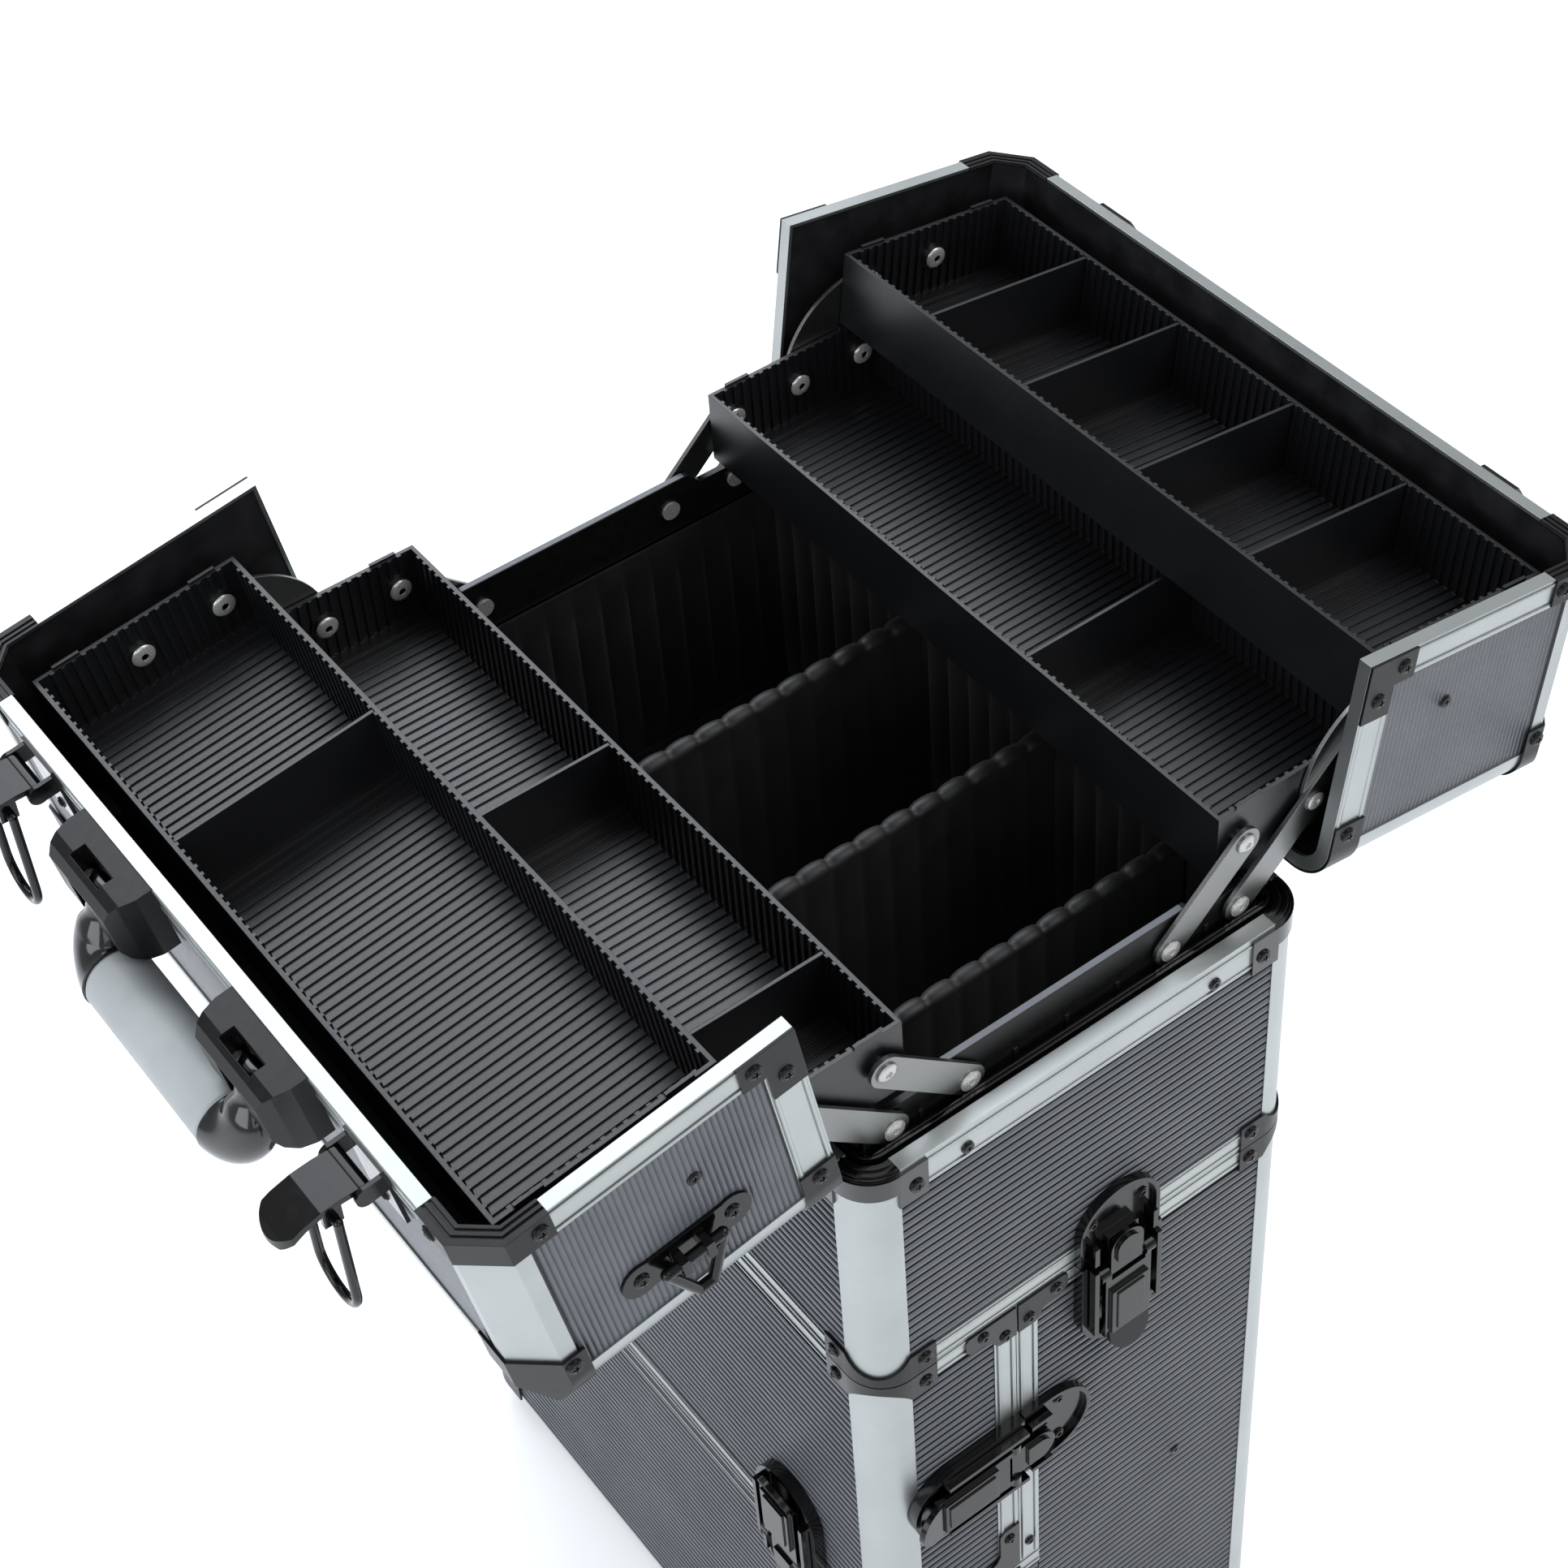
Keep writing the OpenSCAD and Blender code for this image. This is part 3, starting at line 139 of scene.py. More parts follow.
def grain(tree, place, sizeMm, stretch=(1, 1, 1), detail=3):
    # noise whose blotches are about sizeMm across
    scaled = addNode(tree, "ShaderNodeMapping", {}, {"Vector": place, "Scale": stretch})
    return addNode(tree, "ShaderNodeTexNoise", {}, {
        "Vector": scaled.outputs["Vector"], "Scale": 1 / (sizeMm * mm), "Detail": detail}).outputs["Fac"]


def ramp(tree, value, stops):
    node = addNode(tree, "ShaderNodeValToRGB", {}, {"Fac": value})
    first, last = node.color_ramp.elements
    first.position, first.color = stops[0][0], toLinear(stops[0][1])
    last.position, last.color = stops[-1][0], toLinear(stops[-1][1])
    for position, colour in stops[1:-1]:
        node.color_ramp.elements.new(position).color = toLinear(colour)
    return node.outputs["Color"]


def spread(tree, value, low, high):
    # noise lies mostly between 0.3 and 0.7; this spreads it from low to high
    return addNode(tree, "ShaderNodeMapRange", {}, {
        "Value": value, "From Min": 0.3, "From Max": 0.7, "To Min": low, "To Max": high}).outputs["Result"]


def bump(tree, shader, height, depthMm, strength=1.0, edgeMm=0.0):
    # relief from a height, on edges rounded by edgeMm
    node = addNode(tree, "ShaderNodeBump", {}, {
        "Height": height, "Distance": depthMm * mm, "Strength": strength})
    if edgeMm:
        soft = addNode(tree, "ShaderNodeBevel", {"samples": 4}, {"Radius": edgeMm * mm})
        tree.links.new(soft.outputs["Normal"], node.inputs["Normal"])
    tree.links.new(node.outputs["Normal"], shader.inputs["Normal"])


def ribbedLaminate():
    # grey ABS laminate rolled with ribs: satin, a little uneven in tone
    material, tree, shader, place = newMaterial("ribbedLaminate")
    cloud = grain(tree, place, 30)
    fine = grain(tree, place, 2.5)
    tree.links.new(ramp(tree, cloud, [(0.3, "#585c62"), (0.7, "#63676d")]), shader.inputs["Base Color"])
    tree.links.new(spread(tree, fine, 0.36, 0.44), shader.inputs["Roughness"])
    shader.inputs["IOR"].default_value = 1.5
    bump(tree, shader, fine, 0.02, 0.25, 0.3)
    return material


def blackBoard():
    # the board's black face, seen in the grooves between ribs and inside the cabinet
    material, tree, shader, place = newMaterial("blackBoard")
    cloud = grain(tree, place, 12)
    tree.links.new(ramp(tree, cloud, [(0.3, "#0e0e10"), (0.75, "#151518")]), shader.inputs["Base Color"])
    tree.links.new(spread(tree, cloud, 0.4, 0.55), shader.inputs["Roughness"])
    shader.inputs["IOR"].default_value = 1.5
    bump(tree, shader, cloud, 0.04, 0.3)
    return material


def satinAluminium():
    # extruded and anodised edging: light grey, a soft mirror with fine drawing marks
    material, tree, shader, place = newMaterial("satinAluminium")
    marks = grain(tree, place, 0.6, detail=4)
    cloud = grain(tree, place, 40)
    tree.links.new(ramp(tree, cloud, [(0.3, "#aeb2b2"), (0.7, "#b8bcbb")]), shader.inputs["Base Color"])
    tree.links.new(spread(tree, marks, 0.36, 0.44), shader.inputs["Roughness"])
    shader.inputs["Metallic"].default_value = 1
    bump(tree, shader, marks, 0.008, 0.4, 0.3)
    return material


def mouldedBlack():
    # injection-moulded ABS trays: black with a bluish sheen and a fine mould grain
    material, tree, shader, place = newMaterial("mouldedBlack")
    speck = grain(tree, place, 1.2)
    cloud = grain(tree, place, 30)
    tree.links.new(ramp(tree, cloud, [(0.3, "#0f1012"), (0.7, "#141518")]), shader.inputs["Base Color"])
    tree.links.new(spread(tree, speck, 0.3, 0.38), shader.inputs["Roughness"])
    shader.inputs["IOR"].default_value = 1.56
    bump(tree, shader, speck, 0.008, 0.3, 0.35)
    return material


def cornerPlastic():
    # black nylon corner pieces: smooth, with a soft shine
    material, tree, shader, place = newMaterial("cornerPlastic")
    speck = grain(tree, place, 3)
    tree.links.new(ramp(tree, speck, [(0.3, "#0c0c0d"), (0.75, "#141415")]), shader.inputs["Base Color"])
    tree.links.new(spread(tree, speck, 0.3, 0.38), shader.inputs["Roughness"])
    shader.inputs["IOR"].default_value = 1.36
    bump(tree, shader, speck, 0.01, 0.3, 0.4)
    return material


def blackEnamel():
    # stove-enamelled steel hardware: deep black with a hard gloss
    material, tree, shader, place = newMaterial("blackEnamel")
    ripple = grain(tree, place, 5)
    tree.links.new(ramp(tree, ripple, [(0.3, "#050505"), (0.75, "#0a0a0b")]), shader.inputs["Base Color"])
    tree.links.new(spread(tree, ripple, 0.12, 0.2), shader.inputs["Roughness"])
    shader.inputs["IOR"].default_value = 1.36
    shader.inputs["Coat Weight"].default_value = 0.12
    shader.inputs["Coat Roughness"].default_value = 0.05
    bump(tree, shader, ripple, 0.03, 0.3, 0.35)
    return material


def polishedShell():
    # handle shell in polished black ABS, almost a mirror at a glance
    material, tree, shader, place = newMaterial("polishedShell")
    cloud = grain(tree, place, 14)
    tree.links.new(ramp(tree, cloud, [(0.3, "#060607"), (0.7, "#0b0b0d")]), shader.inputs["Base Color"])
    tree.links.new(spread(tree, cloud, 0.12, 0.18), shader.inputs["Roughness"])
    shader.inputs["IOR"].default_value = 1.5
    shader.inputs["Coat Weight"].default_value = 0.4
    shader.inputs["Coat Roughness"].default_value = 0.05
    bump(tree, shader, cloud, 0.02, 0.2, 0.4)
    return material


def platedSteel(name="platedSteel", pale="#949594", dark="#828383", rough=(0.28, 0.38), metal=1.0):
    # nickel-plated steel: bright, with fine rolling marks
    material, tree, shader, place = newMaterial(name)
    marks = grain(tree, place, 0.9, (1, 4, 1), 4)
    tree.links.new(ramp(tree, marks, [(0.3, dark), (0.7, pale)]), shader.inputs["Base Color"])
    tree.links.new(spread(tree, marks, *rough), shader.inputs["Roughness"])
    shader.inputs["Metallic"].default_value = metal
    bump(tree, shader, marks, 0.01, 0.4, 0.3)
    return material


def softGrip():
    # matt grey rubber over the handle
    material, tree, shader, place = newMaterial("softGrip")
    speck = grain(tree, place, 0.8)
    cloud = grain(tree, place, 25)
    tree.links.new(ramp(tree, cloud, [(0.3, "#a8adae"), (0.7, "#b3b8b9")]), shader.inputs["Base Color"])
    tree.links.new(spread(tree, speck, 0.42, 0.55), shader.inputs["Roughness"])
    shader.inputs["IOR"].default_value = 1.5
    bump(tree, shader, speck, 0.03, 0.4)
    return material


def linerVinyl():
    # black vinyl over foam: leathery grain with a faint sheen
    material, tree, shader, place = newMaterial("linerVinyl")
    cells = addNode(tree, "ShaderNodeTexVoronoi", {"feature": "DISTANCE_TO_EDGE"}, {
        "Vector": place, "Scale": 1 / (1.6 * mm)}).outputs["Distance"]
    cloud = grain(tree, place, 18)
    tree.links.new(ramp(tree, cloud, [(0.3, "#0b0b0c"), (0.7, "#131314")]), shader.inputs["Base Color"])
    tree.links.new(spread(tree, cloud, 0.4, 0.52), shader.inputs["Roughness"])
    shader.inputs["IOR"].default_value = 1.46
    shader.inputs["Sheen Weight"].default_value = 0.1
    bump(tree, shader, cells, 0.08, 0.4)
    return material


def tyreRubber():
    # moulded wheel rubber, matt with scuffs
    material, tree, shader, place = newMaterial("tyreRubber")
    scuff = grain(tree, place, 6)
    tree.links.new(ramp(tree, scuff, [(0.35, "#161617"), (0.8, "#2b2b2c")]), shader.inputs["Base Color"])
    tree.links.new(spread(tree, scuff, 0.55, 0.75), shader.inputs["Roughness"])
    bump(tree, shader, scuff, 0.1, 0.4)
    return material


finish = {
    "laminate": ribbedLaminate(),
    "board": blackBoard(),
    "aluminium": satinAluminium(),
    "tray": mouldedBlack(),
    "corner": cornerPlastic(),
    "enamel": blackEnamel(),
    "steel": platedSteel(),
    "rivet": platedSteel("nickelRivet", "#d2d2d0", "#bcbcba", (0.22, 0.32), 0.55),
    "shell": polishedShell(),
    "grip": softGrip(),
    "liner": linerVinyl(),
    "tyre": tyreRubber(),
}

nodeFinish = {
    "board": ["case_shell", "cabinet_shell", "door_shell", "lid_left_shell", "lid_right_shell"],
    "aluminium": ["case_frame", "case_rim", "lower_frame", "door_frame", "lid_left_frame", "lid_right_frame",
                  "trolley_tubes", "trolley_handle", "hinges"],
    "corner": ["end_plates", "frame_brackets", "lid_left_corners", "lid_right_corners",
               "handle_brackets", "base_plate"],
    "shell": ["handle_ends", "rim_channel"],
    "enamel": ["frame_screws", "latch_bases", "door_hardware", "lid_left_hardware", "lid_right_keepers",
               "toggle_near", "toggle_far", "bail_near", "bail_far", "ring_near", "ring_far",
               "latch_lever_near", "latch_lever_far", "latch_lever_door", "latch_lever_low_near",
               "latch_lever_low_far"],
    "steel": ["short_arms_left", "short_arms_right", "long_arms_left", "long_arms_right",
              "link_arms_left", "link_arms_right"],
    "rivet": ["pivot_rivets", "handle_pins"],
    "tray": ["tray_inner_left", "tray_outer_left", "tray_inner_right", "tray_outer_right",
             "dividers_inner_left", "dividers_outer_left", "dividers_inner_right", "dividers_outer_right"],
    "liner": ["well_liner", "well_dividers"],
    "grip": ["handle_grip"],
    "tyre": ["wheel_front", "wheel_back"],
}
for key, names in nodeFinish.items():
    for name in names:
        nodes[name].data.materials.clear()
        nodes[name].data.materials.append(finish[key])
print("finishes on the solids:", sum(len(names) for names in nodeFinish.values()))


# how pieces are made

def newTree(name, inputs):
    tree = bpy.data.node_groups.new(name, "GeometryNodeTree")
    for label, kind, value in inputs:
        socket = tree.interface.new_socket(label, in_out="INPUT", socket_type="NodeSocket" + kind)
        if value is not None:
            socket.default_value = value
    tree.interface.new_socket("Geometry", in_out="OUTPUT", socket_type="NodeSocketGeometry")
    return tree, addNode(tree, "NodeGroupInput").outputs


def endTree(tree, geometry, material):
    real = addNode(tree, "GeometryNodeRealizeInstances", {}, {"Geometry": geometry})
    coated = addNode(tree, "GeometryNodeSetMaterial", {}, {
        "Geometry": real.outputs["Geometry"], "Material": material})
    addNode(tree, "NodeGroupOutput", {}, {"Geometry": coated.outputs["Geometry"]})


def runTree(tree, values, points=()):
    # points are (place, way it faces, size); the tree sets its part on each of them
    source = bpy.data.meshes.new("holder")
    source.from_pydata([tuple(place) for place, way, size in points], [], [])
    if points:
        source.attributes.new("facing", "FLOAT_VECTOR", "POINT")
        source.attributes.new("size", "FLOAT", "POINT")
        ways = [axis for place, way, size in points for axis in way]
        source.attributes["facing"].data.foreach_set("vector", ways)
        source.attributes["size"].data.foreach_set("value", [size for place, way, size in points])
    source.update()
    holder = bpy.data.objects.new("holder", source)
    bpy.context.scene.collection.objects.link(holder)
    modifier = holder.modifiers.new("make", "NODES")
    modifier.node_group = tree
    for item in tree.interface.items_tree:
        if item.in_out == "INPUT" and item.name in values:
            modifier[item.identifier] = values[item.name]
    evaluated = holder.evaluated_get(bpy.context.evaluated_depsgraph_get())
    mesh = bpy.data.meshes.new_from_object(evaluated)
    bpy.data.objects.remove(holder)
    return mesh


def joinPieces(name, parts, body, material, smooth=None):
    # parts are (mesh, matrix in millimetres); the joined mesh is in metres
    bm = bmesh.new()
    for mesh, matrix in parts:
        copy = mesh.copy()
        copy.transform(matrix)
        if matrix.determinant() < 0:
            copy.flip_normals()
        bm.from_mesh(copy)
        bpy.data.meshes.remove(copy)
    bmesh.ops.scale(bm, vec=(mm, mm, mm), verts=bm.verts)
    joined = bpy.data.meshes.new(name)
    bm.to_mesh(joined)
    bm.free()
    joined.materials.clear()
    joined.materials.append(material)
    if smooth is not None:
        joined.shade_smooth()
        joined.set_sharp_from_angle(angle=math.radians(smooth))
    piece = bpy.data.objects.new(name, joined)
    bpy.context.scene.collection.objects.link(piece)
    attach(piece, body)
    return piece


def facing(corner, along, up):
    # a matrix that lays a flat part with its X along, its Y up the stack and its Z outward, from a corner
    u, v = Vector(along).normalized(), Vector(up).normalized()
    w = u.cross(v)
    return Matrix.Translation(corner) @ Matrix((u, v, w)).transposed().to_4x4()


# ribbed panels

ribs = {
    "pitch": 4.8,      # rib spacing
    "width": 3.7,      # rib width at its foot
    "crown": 3.0,      # rib width at its top
    "height": 0.5,     # how far a rib stands out of the board
    "sunk": 0.2,       # how far its foot is let into the board
    "inset": 0.5,      # bare board left round a patch
    "lidPitch": 2.4,   # the lids' finer ribs
    "lidWidth": 2.1,
    "lidCrown": 1.9,
    "lidHeight": 0.2,
}


def ribTree():
    tree, given = newTree("ribbedSheet", [
        ("Length", "Float", 100), ("Count", "Int", 10), ("Pitch", "Float", ribs["pitch"]),
        ("Foot", "Float", ribs["width"]), ("Crown", "Float", ribs["crown"]),
        ("Height", "Float", ribs["height"] + ribs["sunk"]), ("Material", "Material", None)])
    path = addNode(tree, "GeometryNodeCurvePrimitiveLine", {"mode": "DIRECTION"}, {
        "Start": (0, 0, 0), "Direction": (1, 0, 0), "Length": given["Length"]})
    section = addNode(tree, "GeometryNodeCurvePrimitiveQuadrilateral", {"mode": "TRAPEZOID"}, {
        "Bottom Width": given["Foot"], "Top Width": given["Crown"], "Height": given["Height"]})
    bar = addNode(tree, "GeometryNodeCurveToMesh", {}, {
        "Curve": path.outputs["Curve"], "Profile Curve": section.outputs["Curve"], "Fill Caps": True})
    step = addNode(tree, "ShaderNodeCombineXYZ", {}, {"Y": given["Pitch"]})
    row = addNode(tree, "GeometryNodeMeshLine", {}, {
        "Count": given["Count"], "Offset": step.outputs["Vector"]})
    many = addNode(tree, "GeometryNodeInstanceOnPoints", {}, {
        "Points": row.outputs["Mesh"], "Instance": bar.outputs["Mesh"]})
    endTree(tree, many.outputs["Instances"], given["Material"])
    return tree


ribbedSheet = ribTree()


def ribbedPatch(corner, along, up, length, height, fine=False):
    # ribs run along from corner, and are stacked up; fine ones are the lids'
    inset = ribs["inset"]
    keys = ("lidPitch", "lidWidth", "lidCrown", "lidHeight") if fine else ("pitch", "width", "crown", "height")
    pitch, foot, crown, rise = (ribs[key] for key in keys)
    count = int((height - 2 * inset) / pitch)
    slack = (height - (count - 1) * pitch) / 2
    mesh = runTree(ribbedSheet, {
        "Length": float(length - 2 * inset), "Count": count, "Pitch": pitch, "Foot": foot, "Crown": crown,
        "Height": rise + ribs["sunk"], "Material": finish["laminate"]})
    lift = (rise - ribs["sunk"]) / 2
    return mesh, facing(corner, along, up) @ Matrix.Translation((inset, slack, lift))


def boxPatches(xs, ys, z0, z1, faces):
    # patches on the upright faces of the body between two heights; xs, ys are the ends of the flat stretches
    halfL, halfW = case["halfL"] - case["skin"], case["halfW"] - case["skin"]
    made = []
    for face in faces:
        if face == "near":
            made.append(ribbedPatch((halfL, ys[0], z0), (0, 1, 0), (0, 0, 1), ys[1] - ys[0], z1 - z0))
        elif face == "far":
            made.append(ribbedPatch((-halfL, ys[1], z0), (0, -1, 0), (0, 0, 1), ys[1] - ys[0], z1 - z0))
        elif face == "front":
            made.append(ribbedPatch((xs[0], -halfW, z0), (1, 0, 0), (0, 0, 1), xs[1] - xs[0], z1 - z0))
        elif face == "back":
            made.append(ribbedPatch((xs[1], halfW, z0), (-1, 0, 0), (0, 0, 1), xs[1] - xs[0], z1 - z0))
    return made


flatX = case["halfL"] - case["postW"] + ribs["inset"]
flatY = case["halfW"] - case["postW"] + ribs["inset"]
everyFace = ["near", "far", "front", "back"]
strip, edge = case["stripH"], case["splitStrip"]

casePanels = boxPatches(
    (-flatX, flatX), (-flatY, flatY), case["joint"] + strip, -case["rimDepth"], everyFace)
casePanels += boxPatches(
    (-flatX, flatX), (case["split"] + edge, flatY), case["bottom"], case["joint"] - strip,
    ["near", "far", "back"])
casePanels += boxPatches(
    (-flatX, flatX), (-flatY, case["split"] + edge), case["bottom"], case["doorFoot"] - strip,
    ["near", "far", "front"])
joinPieces("bodyPanels", casePanels, "case", finish["laminate"])

doorPanels = boxPatches(
    (-flatX, flatX), (-flatY, case["split"] - edge), case["doorFoot"] + strip, case["joint"] - strip,
    ["near", "far", "front"])
joinPieces("doorPanels", doorPanels, "door", finish["laminate"])

lidPatches = []
endX, longY = case["halfL"] - case["skin"], case["halfW"] - case["skin"]
topZ = lid["top"] - case["skin"]
for sign in (1, -1):
    start = (sign * endX, lid["edge"] if sign > 0 else flatY, lid["foot"])
    lidPatches.append(ribbedPatch(start, (0, sign, 0), (0, 0, 1), flatY - lid["edge"],
                                  lid["top"] - lid["bevelled"] - lid["foot"], True))
lidPatches.append(ribbedPatch((flatX, longY, lid["foot"]), (-1, 0, 0), (0, 0, 1), 2 * flatX,
                              lid["top"] - lid["bevelled"] - lid["foot"], True))
topX = case["halfL"] - lid["bevelled"]
lidPatches.append(ribbedPatch((-topX, lid["edge"], topZ), (1, 0, 0), (0, 1, 0), 2 * topX,
                              case["halfW"] - lid["bevelled"] - lid["edge"], True))
for sideName, side in (("left", -1), ("right", 1)):
    placed = [(mesh, lidPlace(side) @ matrix) for mesh, matrix in lidPatches]
    joinPieces("lidPanels." + sideName, placed, "lid_" + sideName, finish["laminate"])
print("ribbed panels made")


# edging: pairs of raised beads along the flat aluminium strips

bead = {
    "inset": 2.0,      # from the strip's edge to the middle of a bead
    "foot": 1.5,       # bead width on the strip
    "crown": 0.7,      # bead width at its top
    "height": 0.45,    # how far a bead stands out
    "rimLip": 2,       # plain lip over the rim's beads
    "low": 34,         # upright beads of the door start this far over its foot
    "high": 19,        # and all of them end this far under the joint
}


def beadPair(corner, along, up, length, height):
    mesh = runTree(ribbedSheet, {
        "Length": float(length), "Count": 2, "Pitch": float(height - 2 * bead["inset"]), "Foot": bead["foot"],
        "Crown": bead["crown"], "Height": bead["height"] + ribs["sunk"], "Material": finish["aluminium"]})
    lift = (bead["height"] - ribs["sunk"]) / 2
    return mesh, facing(corner, along, up) @ Matrix.Translation((0, bead["inset"], lift))


def beadsRound(z, height, y0, y1, x0, faces):
    # beads on level strips; the ends' strips run from y0 to y1, the long faces' from -x0 to x0
    made = []
    for face in faces:
        if face == "near":
            made.append(beadPair((case["halfL"], y0, z), (0, 1, 0), (0, 0, 1), y1 - y0, height))
        elif face == "far":
            made.append(beadPair((-case["halfL"], y1, z), (0, -1, 0), (0, 0, 1), y1 - y0, height))
        elif face == "front":
            made.append(beadPair((-x0, -case["halfW"], z), (1, 0, 0), (0, 0, 1), 2 * x0, height))
        else:
            made.append(beadPair((x0, case["halfW"], z), (-1, 0, 0), (0, 0, 1), 2 * x0, height))
    return made


split = case["split"]
flangeY, flangeX = case["halfW"] - case["bracket"], case["halfL"] - case["bracket"]
joint, doorFoot = case["joint"], case["doorFoot"]
beside = case["splitBracket"]
doorFaces = ["near", "far", "front"]
caseBeads = beadsRound(joint, strip, -flangeY, flangeY, flangeX, everyFace)
caseBeads += beadsRound(
    -case["rimDepth"], case["rimDepth"] - bead["rimLip"], -flangeY, flangeY, flangeX, ["near", "far"])
caseBeads += beadsRound(joint - strip, strip, split + beside, flangeY, flangeX, ["near", "far", "back"])
caseBeads += beadsRound(doorFoot - strip, strip, -flangeY, split + edge, flangeX, doorFaces)
doorBeads = beadsRound(joint - strip, strip, -flangeY, split - beside, flangeX, doorFaces)
doorBeads += beadsRound(doorFoot + doorGap, strip - doorGap, -flangeY, split - beside, flangeX, doorFaces)
for sign in (1, -1):
    # the strips beside the split run upwards, and their beads are laid across them
    caseY = split + (0 if sign < 0 else edge)
    doorY = split - doorGap - (edge if sign < 0 else 0)
    for beads, y, start in ((caseBeads, caseY, doorFoot), (doorBeads, doorY, doorFoot + bead["low"])):
        beads.append(beadPair((sign * case["halfL"], y, start), (0, 0, 1), (0, -sign, 0),
                              joint - bead["high"] - start, edge))
joinPieces("bodyBeads", caseBeads, "case", finish["aluminium"])
joinPieces("doorBeads", doorBeads, "door", finish["aluminium"])

lidBeads = []
for sign in (1, -1):
    lidEnd = sign * case["halfL"]
    footY = lid["footCap"] if sign > 0 else flangeY
    sideY = lid["gap"] if sign < 0 else lid["edge"]
    lidBeads.append(beadPair((lidEnd, footY, lid["base"]), (0, sign, 0), (0, 0, 1),
                             flangeY - lid["footCap"], lid["foot"]))
    lidBeads.append(beadPair((lidEnd, sideY, lid["sideCap"]), (0, 0, 1), (0, -sign, 0),
                             lid["top"] - lid["cap"] - lid["sideCap"], lid["edge"] - lid["gap"]))
lidBeads.append(beadPair((flangeX, case["halfW"], lid["base"] + 1), (-1, 0, 0), (0, 0, 1),
                         2 * flangeX, lid["foot"] - 1))
capX = case["halfL"] - lid["cap"]
lidBeads.append(beadPair((-capX, lid["gap"], lid["top"]), (1, 0, 0), (0, 1, 0),
                         2 * capX, lid["edge"] - lid["gap"]))
for sideName, side in (("left", -1), ("right", 1)):
    placed = [(mesh, lidPlace(side) @ matrix) for mesh, matrix in lidBeads]
    joinPieces("lidBeads." + sideName, placed, "lid_" + sideName, finish["aluminium"])
print("edging beads made")


# screws and rivets: domed heads, set on points that face outwards

fastener = {
    "screw": 3.3,              # head radius of the common screw
    "dome": 1.7,               # height of its dome
    "recess": (3.7, 0.8, 1.6), # cross recess: length, width and height of the cutter
    "medium": 0.88,            # screws of the smaller brackets, as a share of the common one
    "small": 0.756,            # bare screws in the edging and the keepers, likewise
    "rivet": 5.2,              # radius of the tray rivets' washers
    "rivetDome": 1.5,
    "dimple": (1.7, 1.8),      # radius and height of the cutter for a rivet's dimple
    "seat": -0.2,              # a head is cut off this far under the surface
}


def headTree(name, radius, dome, cutters):
    tree, given = newTree(name, [
        ("Points", "Geometry", None), ("Radius", "Float", radius), ("Dome", "Float", dome),
        ("Material", "Material", None)])
    ball = addNode(tree, "GeometryNodeMeshUVSphere", {}, {"Segments": 20, "Rings": 10, "Radius": 1.0})
    scale = addNode(tree, "ShaderNodeCombineXYZ", {}, {
        "X": given["Radius"], "Y": given["Radius"], "Z": given["Dome"]})
    head = addNode(tree, "GeometryNodeTransform", {}, {
        "Geometry": ball.outputs["Mesh"], "Scale": scale.outputs["Vector"]})
    position = addNode(tree, "GeometryNodeInputPosition").outputs["Position"]
    place = addNode(tree, "ShaderNodeSeparateXYZ", {}, {"Vector": position})
    floorZ = addNode(tree, "ShaderNodeMath", {"operation": "MAXIMUM"}, {
        0: place.outputs["Z"], 1: fastener["seat"]})
    flat = addNode(tree, "ShaderNodeCombineXYZ", {}, {
        "X": place.outputs["X"], "Y": place.outputs["Y"], "Z": floorZ.outputs[0]})
    head = addNode(tree, "GeometryNodeSetPosition", {}, {
        "Geometry": head.outputs["Geometry"], "Position": flat.outputs["Vector"]})
    cut = addNode(tree, "GeometryNodeMeshBoolean", {"operation": "DIFFERENCE"}, {
        "Mesh 1": head.outputs["Geometry"]})
    for cutter in cutters(tree):
        tree.links.new(cutter, cut.inputs["Mesh 2"])
    way = addNode(tree, "GeometryNodeInputNamedAttribute", {"data_type": "FLOAT_VECTOR"}, {"Name": "facing"})
    turn = addNode(tree, "FunctionNodeAlignRotationToVector", {"axis": "Z"}, {
        "Vector": way.outputs["Attribute"]})
    size = addNode(tree, "GeometryNodeInputNamedAttribute", {"data_type": "FLOAT"}, {"Name": "size"})
    many = addNode(tree, "GeometryNodeInstanceOnPoints", {}, {
        "Points": given["Points"], "Instance": cut.outputs["Mesh"], "Rotation": turn.outputs["Rotation"],
        "Scale": size.outputs["Attribute"]})
    endTree(tree, many.outputs["Instances"], given["Material"])
    return tree


def crossCutters(tree):
    length, width, height = fastener["recess"]
    made = []
    for sizes in ((length, width, height), (width, length, height)):
        block = addNode(tree, "GeometryNodeMeshCube", {}, {"Size": sizes})
        made.append(addNode(tree, "GeometryNodeTransform", {}, {
            "Geometry": block.outputs["Mesh"], "Translation": (0, 0, fastener["dome"])}).outputs["Geometry"])
    return made


def dimpleCutter(tree):
    radius, height = fastener["dimple"]
    drill = addNode(tree, "GeometryNodeMeshCylinder", {}, {
        "Vertices": 16, "Radius": radius, "Depth": height})
    return [addNode(tree, "GeometryNodeTransform", {}, {
        "Geometry": drill.outputs["Mesh"], "Translation": (0, 0, fastener["rivetDome"])}).outputs["Geometry"]]


screwHead = headTree("crossHeadScrew", fastener["screw"], fastener["dome"], crossCutters)
rivetHead = headTree("washerRivet", fastener["rivet"], fastener["rivetDome"], dimpleCutter)


def setHeads(tree, name, points, body, key):
    heads = runTree(tree, {"Material": finish[key]}, points)
    joinPieces(name, [(heads, Matrix())], body, finish[key], 40)


def bothEnds(points):
    return points + [((-p[0], p[1], p[2]), (-d[0], d[1], d[2]), size) for p, d, size in points]


